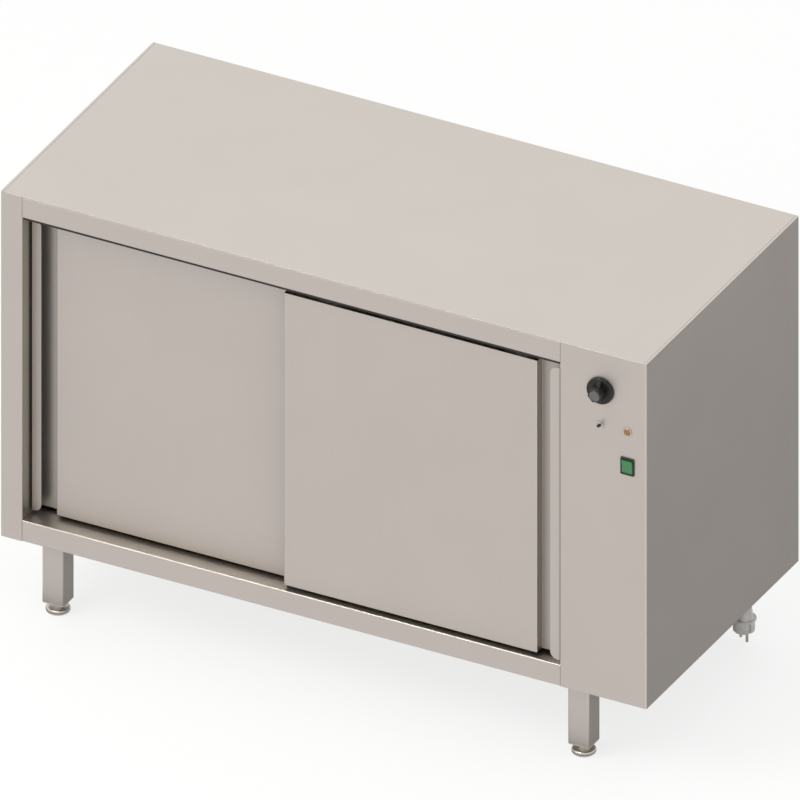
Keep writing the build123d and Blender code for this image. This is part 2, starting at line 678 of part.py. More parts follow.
def foot(x, y):
    """A levelling foot: rounded disc, neck and threaded stem."""
    disc = rod((x, y, FLOOR), (0, 0, 1), FOOT_RADIUS, FOOT_DISC)
    disc = fillet(disc.edges().filter_by(GeomType.CIRCLE).sort_by(Axis.Z)[-1], FOOT_ROUND)
    disc = fillet(disc.edges().filter_by(GeomType.CIRCLE).sort_by(Axis.Z)[0], FOOT_SOLE_ROUND)
    neck_top = FOOT_HEIGHT - INSERT_FLANGE
    neck = rod((x, y, FLOOR), (0, 0, 1), FOOT_NECK_RADIUS, neck_top)
    stem = rod((x, y, FLOOR), (0, 0, 1), STEM_RADIUS, neck_top + STEM_LENGTH)
    return disc + neck + stem


def legs():
    """Four legs with their inserts and feet."""
    inserts = []
    for side, x in (("left", LEG_LEFT_X), ("right", LEG_RIGHT_X)):
        for end, y in (("front", LEG_SETBACK), ("rear", DEPTH - LEG_SETBACK)):
            save(f"leg_{end}_{side}", leg(x, y))
            save(f"foot_{end}_{side}", foot(x, y))
            inserts.append(leg_insert(x, y))
    save("leg_inserts", *inserts)


# ---- controls ----
def knob():
    """Thermostat knob: round skirt, hexagon grip and a pointer that slopes from the grip to the rim."""
    back = (0, 1, 0)
    skirt_face = -KNOB_GAP - KNOB_SKIRT
    skirt = rod((KNOB_X, skirt_face, KNOB_Z), back, KNOB_SKIRT_RADIUS, KNOB_SKIRT)
    skirt = fillet(skirt.edges().filter_by(GeomType.CIRCLE).sort_by(Axis.Y)[0], KNOB_EDGE)
    grip_end = KNOB_REACH - KNOB_CAP_PROUD
    foot_plane = Plane(origin=(KNOB_X, skirt_face, KNOB_Z), x_dir=(1, 0, 0), z_dir=(0, -1, 0))
    end_plane = foot_plane.offset(grip_end + skirt_face)
    foot_face = foot_plane * Rot(0, 0, KNOB_GRIP_TURN) * RegularPolygon(KNOB_GRIP_FOOT, 6)
    end_face = end_plane * Rot(0, 0, KNOB_GRIP_TURN) * RegularPolygon(KNOB_GRIP_END, 6)
    grip = loft([foot_face, end_face], ruled=True)
    grip = chamfer(grip.faces().sort_by(Axis.Y)[0].edges(), KNOB_GRIP_BEVEL)
    side = Polyline((skirt_face, 0), (skirt_face - POINTER_RISE, 0), (skirt_face, POINTER_REACH), close=True)
    pointer = extrude(Plane.YZ * make_face(side), POINTER_WIDTH, dir=(1, 0, 0))
    body = skirt + grip + Pos(KNOB_X - POINTER_WIDTH / 2, 0, KNOB_Z) * pointer
    body -= rod((KNOB_X, -grip_end, KNOB_Z), back, KNOB_CAP_RADIUS, KNOB_CAP_PROUD)
    bore_end = SHAFT_REACH + SHAFT_END_GAP
    return body - rod((KNOB_X, -bore_end, KNOB_Z), back, SHAFT_RADIUS + SHAFT_CLEARANCE, bore_end)


def knob_cap():
    """Round insert in the end of the knob."""
    start = (KNOB_X, -KNOB_REACH, KNOB_Z)
    cap = rod(start, (0, 1, 0), KNOB_CAP_RADIUS, 2 * KNOB_CAP_PROUD)
    return chamfer(cap.edges().filter_by(GeomType.CIRCLE).sort_by(Axis.Y)[0], KNOB_CAP_PROUD * 0.5)


def thermostat():
    """Thermostat body behind the panel, with its shaft."""
    half = THERMOSTAT_SIZE / 2
    body = block(KNOB_X - half, KNOB_X + half, SHEET, SHEET + THERMOSTAT_DEPTH, KNOB_Z - half, KNOB_Z + half)
    body = fillet(body.edges().filter_by(Axis.Y), THERMOSTAT_CORNER)
    return body + rod((KNOB_X, -SHAFT_REACH, KNOB_Z), (0, 1, 0), SHAFT_RADIUS, SHAFT_REACH + SHEET)


def toggle_body():
    """Toggle switch: threaded bush, hexagon nut and body behind the panel."""
    back = (0, 1, 0)
    bush = rod((TOGGLE_X, -TOGGLE_BUSH, TOGGLE_Z), back, TOGGLE_BUSH_RADIUS, TOGGLE_BUSH + SHEET)
    face = Plane(origin=(TOGGLE_X, 0, TOGGLE_Z), x_dir=(1, 0, 0), z_dir=(0, -1, 0))
    nut = extrude(face * RegularPolygon(TOGGLE_NUT, 6), TOGGLE_NUT_HEIGHT)
    half_w, half_h = TOGGLE_CASE[0] / 2, TOGGLE_CASE[2] / 2
    body = block(TOGGLE_X - half_w, TOGGLE_X + half_w, SHEET, SHEET + TOGGLE_CASE[1],
                 TOGGLE_Z - half_h, TOGGLE_Z + half_h)
    switch = bush + nut + body
    socket = TOGGLE_BUSH_RADIUS - TOGGLE_WALL
    switch -= rod((TOGGLE_X, -TOGGLE_BUSH, TOGGLE_Z), back, socket, TOGGLE_BUSH + SHEET)
    return switch - toggle_pin(PIN_CLEARANCE)


def toggle_pin(clearance):
    """The cross pin that the lever turns on."""
    start = (TOGGLE_X - TOGGLE_PIN / 2, -TOGGLE_PIVOT, TOGGLE_Z)
    return rod(start, (1, 0, 0), TOGGLE_PIN_RADIUS + clearance, TOGGLE_PIN)


def toggle_lever():
    """Bat lever of the toggle switch with its cross pin, tilted up at rest."""
    tilt = math.radians(TOGGLE_TILT)
    direction = (0, -math.cos(tilt), math.sin(tilt))
    reach = (TOGGLE_LEVER - TOGGLE_PIVOT) / math.cos(tilt)
    root = (TOGGLE_X, -TOGGLE_PIVOT, TOGGLE_Z)
    plane = Plane(origin=root, z_dir=direction)
    lever = plane * Cone(TOGGLE_ROOT_RADIUS, TOGGLE_TIP_RADIUS, reach, align=ON_END)
    lever += Pos(*root) * Sphere(TOGGLE_BUSH_RADIUS - TOGGLE_WALL - SWIVEL_CLEARANCE)
    return lever + toggle_pin(0)


def pilot():
    """Pilot lamp: bezel against the panel and domed lens through it."""
    back = (0, 1, 0)
    bezel = ring((PILOT_X, -PILOT_BEZEL, PILOT_Z), back, PILOT_BEZEL_RADIUS, PILOT_LENS_RADIUS, PILOT_BEZEL)
    rims = bezel.edges().filter_by(GeomType.CIRCLE).group_by(Axis.Y)[0]
    bezel = chamfer(rims.sort_by(SortBy.LENGTH)[-1], PILOT_EDGE)
    lens = rod((PILOT_X, -PILOT_LENS, PILOT_Z), back, PILOT_LENS_RADIUS, PILOT_LENS + SHEET + PILOT_BODY)
    lens = fillet(lens.edges().filter_by(GeomType.CIRCLE).sort_by(Axis.Y)[0], PILOT_DOME)
    save("pilot_bezel", bezel)
    save("pilot_lens", lens)


def rocker_axle(end, clearance):
    """The axle under the rocker's button, each end reaching into the wall of the case."""
    half = ROCKER_WIDTH / 2 + end
    start = (ROCKER_X - half, ROCKER_PIVOT, ROCKER_Z)
    return rod(start, (1, 0, 0), ROCKER_AXLE_RADIUS + clearance, 2 * half)


def rocker_frame():
    """Frame and case of the lit rocker switch."""
    half_w = ROCKER_FRAME_WIDTH / 2
    half_h = ROCKER_FRAME_HEIGHT / 2
    front = -ROCKER_FRAME_PROUD
    frame = block(ROCKER_X - half_w, ROCKER_X + half_w, front, 0, ROCKER_Z - half_h, ROCKER_Z + half_h)
    frame = fillet(frame.edges().filter_by(Axis.Y), ROCKER_CORNER)
    case_w = half_w - ROCKER_CASE_INSET
    case_h = half_h - ROCKER_CASE_INSET
    frame += block(ROCKER_X - case_w, ROCKER_X + case_w, 0, ROCKER_CASE, ROCKER_Z - case_h, ROCKER_Z + case_h)
    well_w = ROCKER_WIDTH / 2 + ROCKER_GAP
    well_h = ROCKER_HEIGHT / 2 + ROCKER_GAP
    frame -= block(ROCKER_X - well_w, ROCKER_X + well_w, front, ROCKER_WELL,
                   ROCKER_Z - well_h, ROCKER_Z + well_h)
    return frame - rocker_axle(ROCKER_GAP + ROCKER_AXLE_SEAT, PIN_CLEARANCE)


def rocker_button():
    """The rocker's button on its axle, at rest tilted with its foot pressed in."""
    end = ROCKER_HEIGHT / 2 - ROCKER_EDGE
    inner = ROCKER_HEIGHT / 2 - 2 * ROCKER_EDGE
    front = -ROCKER_PIVOT - ROCKER_END
    rear = ROCKER_DEPTH - ROCKER_PIVOT
    outline = [(front, end), (-ROCKER_PIVOT - ROCKER_MIDDLE, 0), (front, -end), (rear, -inner), (rear, inner)]
    section = Plane.YZ * make_face(Polyline(*outline, close=True))
    button = Pos(-ROCKER_WIDTH / 2, 0, 0) * extrude(section, ROCKER_WIDTH, dir=(1, 0, 0))
    button = Pos(ROCKER_X, ROCKER_PIVOT, ROCKER_Z) * Rot(ROCKER_TILT, 0, 0) * button
    return button + rocker_axle(ROCKER_GAP + ROCKER_AXLE_SEAT - PIN_CLEARANCE, 0)


def controls():
    """Everything on the front of the control box."""
    save("knob", knob())
    save("knob_cap", knob_cap())
    save("thermostat", thermostat())
    save("toggle_body", toggle_body())
    save("toggle_lever", toggle_lever())
    pilot()
    save("rocker_frame", rocker_frame())
    save("rocker_button", rocker_button())


# ---- heating ----
def fan_motor(plate_x):
    """Motor on its plate, four posts to the partition, and the shaft towards the chamber."""
    right = (1, 0, 0)
    half = FAN_PLATE / 2
    motor = block(plate_x, plate_x + TRACK_WALL, FAN_Y - half, FAN_Y + half, FAN_Z - half, FAN_Z + half)
    motor += rod((plate_x + TRACK_WALL, FAN_Y, FAN_Z), right, MOTOR_RADIUS, MOTOR_LENGTH)
    post = half - POST_INSET
    for y in (-post, post):
        for z in (-post, post):
            motor += rod((PARTITION_BACK, FAN_Y + y, FAN_Z + z), right, POST_RADIUS, FAN_SPACE)
    motor += rod((plate_x - MOTOR_SHAFT, FAN_Y, FAN_Z), right, SHAFT_RADIUS, MOTOR_SHAFT)
    for y, z in heater_ends():
        motor -= rod((plate_x, y, z), right, HEATER_TUBE + FLUSH, TRACK_WALL)
    return motor


def heater_ends():
    """Where the heater's two straight ends run back from its ring."""
    half = HEATER_LEGS / 2
    rise = math.sqrt(HEATER_RING**2 - half**2)
    return [(FAN_Y - half, FAN_Z + rise), (FAN_Y + half, FAN_Z + rise)]


def heater_element(plate_x):
    """Tubular heater: a ring around the impeller and two straight ends through the motor's plate."""
    right = (1, 0, 0)
    ring_x = PARTITION_BACK + FAN_SPACE / 2
    loop = Plane(origin=(ring_x, FAN_Y, FAN_Z), z_dir=right) * Torus(HEATER_RING, HEATER_TUBE)
    for y, z in heater_ends():
        loop += rod((ring_x, y, z), right, HEATER_TUBE, plate_x - ring_x + HEATER_TAIL)
    return loop


def fan_impeller(plate_x):
    """Axial impeller on the motor's shaft."""
    right = (1, 0, 0)
    start = plate_x - MOTOR_SHAFT - IMPELLER_NOSE
    middle = Pos(start + IMPELLER_LENGTH / 2, FAN_Y, FAN_Z)
    wheel = rod((start, FAN_Y, FAN_Z), right, FAN_HUB_RADIUS, IMPELLER_LENGTH)
    half = IMPELLER_LENGTH / 2 - IMPELLER_NOSE
    thick = BLADE_THICKNESS / 2
    for number in range(FAN_BLADES):
        blade = block(-half, half, -thick, thick, FAN_HUB_RADIUS - IMPELLER_NOSE, FAN_RADIUS)
        wheel += middle * Rot(360 * number / FAN_BLADES, 0, 0) * Rot(0, 0, BLADE_PITCH) * blade
    bore = SHAFT_RADIUS + SHAFT_CLEARANCE
    return wheel - rod((start + IMPELLER_NOSE, FAN_Y, FAN_Z), right, bore, IMPELLER_LENGTH)


def fan_guard():
    """Guard on the chamber side: rim against the partition, rings and spokes in front."""
    right = (1, 0, 0)
    front_x = OPEN_RIGHT - GUARD_DEPTH
    inner = FAN_HOLE_RADIUS + GUARD_RIM_WALL
    guard = ring((front_x, FAN_Y, FAN_Z), right, FAN_HOLE_RADIUS + GUARD_RIM, inner, GUARD_DEPTH)
    half = GUARD_WIRE / 2
    for radius in GUARD_RINGS:
        guard += ring((front_x, FAN_Y, FAN_Z), right, radius + half, radius - half, GUARD_WIRE)
    reach = (FAN_HOLE_RADIUS + GUARD_RIM + inner) / 2
    for turn in (0, 45, 90, 135):
        spoke = block(0, GUARD_WIRE, -reach, reach, -half, half)
        guard += Pos(front_x, FAN_Y, FAN_Z) * Rot(turn, 0, 0) * spoke
    return guard


def heating():
    """Fan and ring heater behind the partition, and the guard on the chamber side."""
    plate_x = PARTITION_BACK + FAN_SPACE
    save("fan_motor", fan_motor(plate_x))
    save("fan_impeller", fan_impeller(plate_x))
    save("heater_element", heater_element(plate_x))
    save("fan_guard", fan_guard())


# ---- mains lead ----
COIL_MIDDLE_Z = FLOOR + COIL_GAP + COIL_LAYERS * CORD_RADIUS
FEED_Z = COIL_MIDDLE_Z + CORD_RADIUS
TAIL_Z = COIL_MIDDLE_Z - CORD_RADIUS
PLUG_TOP = PLUG_FLANGE_Z + PLUG_GRIP + PLUG_NECK

# The lead's route, from the gland's axis and the body's underside.
FEED_ROUTE = [
    (0.0, 0.0, -GLAND_LENGTH),
    (0.0, 0.0, -52.0),
    (-3.0, -1.0, -82.0),
    (-16.0, -4.0, -112.0),
    (-45.0, -8.0, -132.0),
    (-87.0, -10.5, -138.5),
    (COIL_OFFSET[0], COIL_OFFSET[1] - COIL_RADIUS, FEED_Z),
]
CLIP_RUN = [(0.0, 140.0, -7.5), (2.5, 170.0, -7.5)]     # held by the clip
TAIL_ROUTE = [
    (COIL_OFFSET[0], COIL_OFFSET[1] + COIL_RADIUS, TAIL_Z),
    (-96.0, 72.5, TAIL_Z),
    (-62.0, 79.0, -139.5),
    (-36.0, 90.0, -118.5),
    (-19.0, 101.0, -89.0),
    (-9.0, 111.0, -59.0),
    (-3.0, 119.0, -29.0),
    *CLIP_RUN,
    (*PLUG_OFFSET, -28.6),
    (*PLUG_OFFSET, PLUG_TOP),
]


def from_gland(route):
    """The route's points in cabinet coordinates."""
    return [(GLAND_X + x, GLAND_Y + y, z) for x, y, z in route]


def lead(name, points):
    """A stretch of the lead, each bend as wide as its two runs allow; prints the bends' radii."""
    corners = [Vector(*point) for point in points]
    radii = []
    for before, here, after in zip(corners, corners[1:], corners[2:]):
        arriving = here - before
        leaving = after - here
        turn = math.radians(arriving.get_angle(leaving))
        radii.append(0.45 * min(arriving.length, leaving.length) / math.tan(turn / 2))
    print(name, "radii", [round(radius) for radius in radii])
    path = FilletPolyline(*corners, radius=radii)
    start = Plane(origin=corners[0], z_dir=path % 0)
    tube = sweep(start * Circle(CORD_RADIUS), path=path)
    ratio = tube.volume / (math.pi * CORD_RADIUS**2 * path.length)
    print(name, "volume ratio", round(ratio, 4), "length", round(path.length))
    return tube


def coil():
    """The outer shape of the put-away turns."""
    half = COIL_LAYERS * CORD_RADIUS
    section = Pos(COIL_RADIUS, 0) * RectangleRounded(2 * half, 2 * half, CORD_RADIUS * 0.9)
    return Pos(COIL_X, COIL_Y, COIL_MIDDLE_Z) * revolve(Plane.XZ * section, Axis.Z)


def gland():
    """Cable gland through the floor of the control box: nut inside, hexagon and dome outside."""
    down = (0, 0, -1)
    face = Plane(origin=(GLAND_X, GLAND_Y, 0), z_dir=down)
    body = extrude(face * RegularPolygon(GLAND_RADIUS, 6), GLAND_HEXAGON)
    body += rod((GLAND_X, GLAND_Y, -GLAND_HEXAGON), down, GLAND_BARREL_RADIUS, GLAND_BARREL)
    neck_top = GLAND_HEXAGON + GLAND_BARREL
    neck = Plane(origin=(GLAND_X, GLAND_Y, -neck_top), z_dir=down)
    neck *= Cone(GLAND_BARREL_RADIUS, CORD_RADIUS + NECK_WALL, GLAND_LENGTH - neck_top, align=ON_END)
    body += neck
    up = (0, 0, 1)
    body += rod((GLAND_X, GLAND_Y, 0), up, GLAND_THREAD_RADIUS, SHEET + GLAND_THREAD)
    body += rod((GLAND_X, GLAND_Y, SHEET), up, GLAND_NUT_RADIUS, GLAND_NUT)
    return body


def cord_clip():
    """P-clip under the control box: a band around the lead, closed by its strap against the floor pan."""
    before, after = (Vector(*point) for point in from_gland(CLIP_RUN))
    direction = (after - before).normalized()
    middle = (before + after) * 0.5
    half = CLIP_WIDTH / 2
    hold = CORD_RADIUS + CLIP_CLEARANCE
    band = ring(tuple(middle - direction * half), tuple(direction), hold + CLIP_BAND, hold, CLIP_WIDTH)
    near, far = middle.Y - half, middle.Y + half
    strap = block(middle.X - hold, middle.X + CLIP_REACH, near, far, -2 * CLIP_BAND, 0)
    clip = (band + strap) & block(middle.X - CLIP_REACH, middle.X + CLIP_REACH, near, far, -CLIP_REACH, 0)
    return clip - rod(tuple(middle - direction * CLIP_REACH), tuple(direction), hold, 2 * CLIP_REACH)


def plug_body():
    """Moulded two-pin plug with side earth contacts, its flange and its straight grip."""
    down = (0, 0, -1)
    up = (0, 0, 1)
    contact = rod((0, 0, 0), down, PLUG_RADIUS, PLUG_FACE)
    contact = fillet(contact.edges().filter_by(GeomType.CIRCLE).sort_by(Axis.Z)[0], PLUG_EDGE)
    flange = rod((0, 0, -PLUG_FLANGE_FRONT), up, PLUG_FLANGE_RADIUS, PLUG_FLANGE_FRONT + PLUG_FLANGE_BACK)
    flange = fillet(flange.edges().filter_by(GeomType.CIRCLE), PLUG_FLANGE_EDGE)
    low = Pos(0, 0, PLUG_FLANGE_BACK) * RectangleRounded(*PLUG_GRIP_FOOT)
    high = Pos(0, 0, PLUG_GRIP) * RectangleRounded(*PLUG_GRIP_END)
    grip = loft([low, high])
    neck = Pos(0, 0, PLUG_GRIP) * Cone(PLUG_NECK_RADIUS, CORD_RADIUS + NECK_WALL, PLUG_NECK, align=ON_END)
    body = contact + flange + grip + neck
    earth = EARTH_WIDTH / 2
    slot = GUIDE_SLOT_WIDTH / 2
    for side in (-1, 1):
        edge = side * PLUG_RADIUS
        body -= block(edge - EARTH_DEPTH, edge + EARTH_DEPTH, -earth, earth, -PLUG_FACE, -PLUG_FLANGE_FRONT)
        near, far = edge - GUIDE_SLOT_DEPTH, edge + GUIDE_SLOT_DEPTH
        body -= block(-slot, slot, near, far, -PLUG_FACE, -GUIDE_SLOT_START)
        body -= rod((side * PLUG_PITCH / 2, 0, -PLUG_FACE), up, PLUG_PIN_RADIUS, PLUG_PIN_SEAT)
    return Pos(PLUG_X, PLUG_Y, PLUG_FLANGE_Z) * Rot(0, 0, PLUG_TURN) * body


def plug_pins():
    """The plug's two round pins, seated in its face."""
    pins = []
    for side in (-1, 1):
        tip = (side * PLUG_PITCH / 2, 0, -PLUG_FACE - PLUG_PIN)
        pin = rod(tip, (0, 0, 1), PLUG_PIN_RADIUS, PLUG_PIN + PLUG_PIN_SEAT)
        pin = fillet(pin.edges().filter_by(GeomType.CIRCLE).sort_by(Axis.Z)[0], PLUG_PIN_ROUND)
        pins.append(Pos(PLUG_X, PLUG_Y, PLUG_FLANGE_Z) * Rot(0, 0, PLUG_TURN) * pin)
    return pins


def mains_lead():
    """Gland, lead, its coil and clip, and the plug."""
    save("cable_gland", gland())
    save("cord_feed", lead("cord_feed", from_gland(FEED_ROUTE)))
    save("cord_coil", coil())
    save("cord_tail", lead("cord_tail", from_gland(TAIL_ROUTE)))
    save("cord_clip", cord_clip())
    save("plug_body", plug_body())
    save("plug_pins", *plug_pins())


def body_sheets():
    """The sheets seen from outside."""
    save("side_panel_left", side_panel_left())
    save("control_box_panel", control_box_panel())
    save("worktop", worktop())
    save("back_panel", back_panel())
    save("floor_pan", floor_pan())
    save("top_rail", top_rail())
    save("bottom_rail", bottom_rail())


body_sheets()
chamber()
doors()
save("door_track", door_track())
save("floor_guide", floor_guide())
legs()
controls()
heating()
mains_lead()
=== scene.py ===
import json
import math

import bmesh
import bpy
from bpy.props import FloatProperty, FloatVectorProperty, IntProperty, PointerProperty, StringProperty
from mathutils import Matrix, Vector


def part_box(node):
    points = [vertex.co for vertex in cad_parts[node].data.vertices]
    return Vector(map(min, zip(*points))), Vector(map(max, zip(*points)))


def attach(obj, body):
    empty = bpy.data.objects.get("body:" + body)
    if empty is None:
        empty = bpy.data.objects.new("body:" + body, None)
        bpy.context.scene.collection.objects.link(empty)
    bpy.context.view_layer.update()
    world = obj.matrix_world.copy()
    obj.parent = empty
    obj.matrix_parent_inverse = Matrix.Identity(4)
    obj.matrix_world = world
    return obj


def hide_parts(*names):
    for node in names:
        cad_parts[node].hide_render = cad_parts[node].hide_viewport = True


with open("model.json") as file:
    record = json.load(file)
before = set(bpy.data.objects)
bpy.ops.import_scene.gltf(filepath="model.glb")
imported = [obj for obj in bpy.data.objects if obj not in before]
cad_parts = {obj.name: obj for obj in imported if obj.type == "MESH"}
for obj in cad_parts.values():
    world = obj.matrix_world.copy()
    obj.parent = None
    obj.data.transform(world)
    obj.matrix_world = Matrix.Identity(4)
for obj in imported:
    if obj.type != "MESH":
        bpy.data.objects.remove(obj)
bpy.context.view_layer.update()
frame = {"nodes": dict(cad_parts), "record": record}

bl_info = {
    "name": "Plate Warmer Cabinet",
    "version": (1, 0, 0),
    "blender": (4, 5, 0),
    "location": "View3D > Sidebar > Plate Warmer",
    "description": "Finishes, small pieces, mains lead and studio for a heated plate cupboard",
    "category": "Object",
}

NODES = frame["nodes"]
MM = 0.001

# ---- places read from the frame ----
SIDE_LOW, SIDE_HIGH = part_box("side_panel_left")
LEFT = SIDE_LOW.x
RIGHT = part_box("control_box_panel")[1].x
FRONT = SIDE_LOW.y
REAR = SIDE_HIGH.y
BOTTOM = SIDE_LOW.z


def place(x, y, z):
    """Millimetres from the body's left side, front face and underside, as metres in the frame."""
    return Vector((LEFT + x * MM, FRONT + y * MM, BOTTOM + z * MM))


# ---- what a user would change ----
def channels(colour):
    """Red, green and blue from 0 to 1 of a colour that is sRGB hex, or is such a triple already."""
    if isinstance(colour, str):
        return [int(colour[i:i + 2], 16) / 255 for i in (0, 2, 4)]
    return list(colour)


def colour_property(name, description, hex_value):
    """A colour setting, given as sRGB hex."""
    return FloatVectorProperty(name=name, description=description, subtype="COLOR_GAMMA",
                               size=3, min=0.0, max=1.0, default=channels(hex_value))


class WarmerFinish(bpy.types.PropertyGroup):
    """Colours and grain of the cabinet."""
    steel: colour_property("Steel", "Satin stainless steel of the body", "D1CAC2")
    lining: colour_property("Lining", "Stainless steel inside the chamber", "C9C2B9")
    knob: colour_property("Knob", "Black phenolic of the knob", "0F100F")
    amber: colour_property("Pilot lamp", "Amber lens", "90631F")
    green: colour_property("Mains switch", "Green rocker", "26743B")
    lead: colour_property("Lead", "Grey sheath of the mains lead", "7D7B75")
    plug: colour_property("Plug", "Grey moulded plug", "C1BFBC")
    grain_pitch: FloatProperty(name="Grain pitch", default=1.1 * MM, min=0.0001, unit="LENGTH",
                               description="Spacing of the brushed lines, drawn coarser than the 0.1 mm "
                               "of real grit so that it shows")


class WarmerSizes(bpy.types.PropertyGroup):
    """Sizes of the small pieces."""
    lead_diameter: FloatProperty(name="Lead diameter", description="Outside diameter of the mains lead",
                                 default=7.0 * MM, min=0.002, unit="LENGTH")
    coil_turns: IntProperty(name="Coil turns", description="Turns of the put-away lead", default=4, min=1)
    screw_head: FloatProperty(name="Screw head", description="Radius of the back panel screws' heads",
                              default=3.24 * MM, min=0.001, unit="LENGTH")
    floor_size: FloatProperty(name="Floor", description="Side of the studio floor", default=14.0,
                              min=4.0, unit="LENGTH")


# ---- colour and nodes ----
RAMP_DARK = 0.35            # noise value at which a surface has its darker tone
RAMP_LIGHT = 0.65
PAINTED_SHADE_DEEP = 0.5           # share of open sky below which the painted shade in a recess gets no darker
PAINTED_SHADE_TONE = 0.75          # share of the colour that the painted shade leaves there
SIDEWAYS = 0.7              # X part of a face's normal from which the face counts as looking along X
HANDLING_MARKS = 140 * MM   # size of the faint clouds that wiping leaves on sheet
FLOW_MARKS = 12 * MM        # size of the faint clouds that the mould leaves on plastic


def linear(colour):
    """An sRGB hex string or triple as linear RGBA."""
    bent = [c / 12.92 if c <= 0.04045 else ((c + 0.055) / 1.055) ** 2.4 for c in channels(colour)]
    return (*bent, 1.0)


def shade(colour, factor):
    """The same colour a little darker or lighter."""
    return [min(1.0, c * factor) for c in channels(colour)]


def add_node(material, kind, links=None, **settings):
    """Adds one node: settings are its attributes or, if there is none by that name, its inputs."""
    tree = material.node_tree
    node = tree.nodes.new(kind)
    for key, value in settings.items():
        if hasattr(node, key):
            setattr(node, key, value)
        else:
            node.inputs[key.replace("_", " ")].default_value = value
    for socket, source in (links or {}).items():
        tree.links.new(source, node.inputs[socket])
    return node


def calculate(material, operation, first, second=0.0):
    """A maths node on another node's value and a second one, which may be a plain number."""
    node = add_node(material, "ShaderNodeMath", links={0: first}, operation=operation)
    if isinstance(second, float):
        node.inputs[1].default_value = second
    else:
        material.node_tree.links.new(second, node.inputs[1])
    return node.outputs[0]


def new_material(name):
    """A node material without any node."""
    material = bpy.data.materials.new(name)
    material.use_nodes = True
    material.node_tree.nodes.clear()
    return material


def surfaced(material, shader):
    """The material with the shader as its surface."""
    add_node(material, "ShaderNodeOutputMaterial", links={"Surface": shader.outputs[0]})
    return material


def varied(material, factor, dark, light):
    """A colour ramp between two colours of the same surface."""
    ramp = add_node(material, "ShaderNodeValToRGB", links={"Fac": factor})
    ramp.color_ramp.elements[0].position = RAMP_DARK
    ramp.color_ramp.elements[0].color = linear(dark)
    ramp.color_ramp.elements[1].position = RAMP_LIGHT
    ramp.color_ramp.elements[1].color = linear(light)
    return ramp.outputs["Color"]


def spread(material, factor, low, high, start=0.0, end=1.0):
    """A value that runs from start to end, moved into the range from low to high."""
    node = add_node(material, "ShaderNodeMapRange", links={"Value": factor})
    node.inputs["From Min"].default_value = start
    node.inputs["From Max"].default_value = end
    node.inputs["To Min"].default_value = low
    node.inputs["To Max"].default_value = high
    return node.outputs["Result"]


def uneven_gloss(material, factor, roughness, by):
    """A roughness that varies a little to both sides."""
    return spread(material, factor, roughness - by, roughness + by)


def grain_lines(material, pitch, length, turned=False):
    """Noise drawn out into lines along X, and along Y on faces that look along X; upright if turned."""
    coords = add_node(material, "ShaderNodeTexCoord").outputs["Object"]
    across = 1.0 / pitch
    along = 1.0 / length
    other_faces = (across, across, along) if turned else (along, across, across)
    sideways_faces = (across, across, along) if turned else (across, along, across)
    stretched = []
    for scale in (other_faces, sideways_faces):
        node = add_node(material, "ShaderNodeVectorMath", links={0: coords}, operation="MULTIPLY")
        node.inputs[1].default_value = scale
        stretched.append(node.outputs[0])
    normal = add_node(material, "ShaderNodeNewGeometry").outputs["Normal"]
    split = add_node(material, "ShaderNodeSeparateXYZ", links={"Vector": normal})
    looks_along_x = calculate(material, "GREATER_THAN", calculate(material, "ABSOLUTE", split.outputs["X"]),
                              SIDEWAYS)
    # inputs 4 and 5 and output 1 of the mix node are its vectors
    mix = add_node(material, "ShaderNodeMix", data_type="VECTOR",
                   links={"Factor": looks_along_x, 4: stretched[0], 5: stretched[1]})
    noise = add_node(material, "ShaderNodeTexNoise", links={"Vector": mix.outputs[1]}, Scale=1.0,
                     Detail=3.0, Roughness=0.55)
    return noise.outputs["Fac"]


def blotches(material, size, detail=2.0):
    """Soft noise whose features are about size metres across."""
    coords = add_node(material, "ShaderNodeTexCoord").outputs["Object"]
    noise = add_node(material, "ShaderNodeTexNoise", links={"Vector": coords}, Scale=1.0 / size,
                     Detail=detail)
    return noise.outputs["Fac"]


def painted_recess_shade(material, colour, reach, open_at):
    """The colour with painted shade: darker in corners and recesses, where little of the sky is seen."""
    openness = add_node(material, "ShaderNodeAmbientOcclusion", samples=6, Distance=reach)
    # painted shade: the colour is scaled down where ambient occlusion finds little open sky
    level = spread(material, openness.outputs["AO"], PAINTED_SHADE_TONE, 1.0, start=PAINTED_SHADE_DEEP, end=open_at)
    return add_node(material, "ShaderNodeVectorMath", operation="SCALE",
                    links={0: colour, "Scale": level}).outputs[0]


def relief(material, height, strength, distance):
    """A bump from a height value."""
    return add_node(material, "ShaderNodeBump", links={"Height": height}, Strength=strength,
                    Distance=distance).outputs["Normal"]


# reach and open_at: distance and share of open sky for the painted shade in recesses
def brushed_metal(name, colour, roughness, pitch, length=60 * MM, turned=False, contrast=0.008, bump=0.03,
                  reach=110 * MM, open_at=0.9):
    """Metal brushed with grit: fine lines that vary its colour and gloss, faint handling marks, and painted
    shade in corners and recesses.
    """
    material = new_material(name)
    lines = grain_lines(material, pitch, length, turned)
    marks = blotches(material, HANDLING_MARKS, detail=4.0)
    mean = calculate(material, "MULTIPLY", calculate(material, "ADD", lines, marks), 0.5)
    tone = varied(material, mean, shade(colour, 1 - contrast), shade(colour, 1 + contrast))
    # painted shade: the colour darkened in corners and recesses
    tone = painted_recess_shade(material, tone, reach, open_at)
    gloss = uneven_gloss(material, mean, roughness, by=0.04)
    normal = relief(material, lines, strength=bump, distance=0.02 * MM)
    shader = add_node(material, "ShaderNodeBsdfPrincipled", Metallic=1.0,
                      links={"Base Color": tone, "Roughness": gloss, "Normal": normal})
    return surfaced(material, shader)


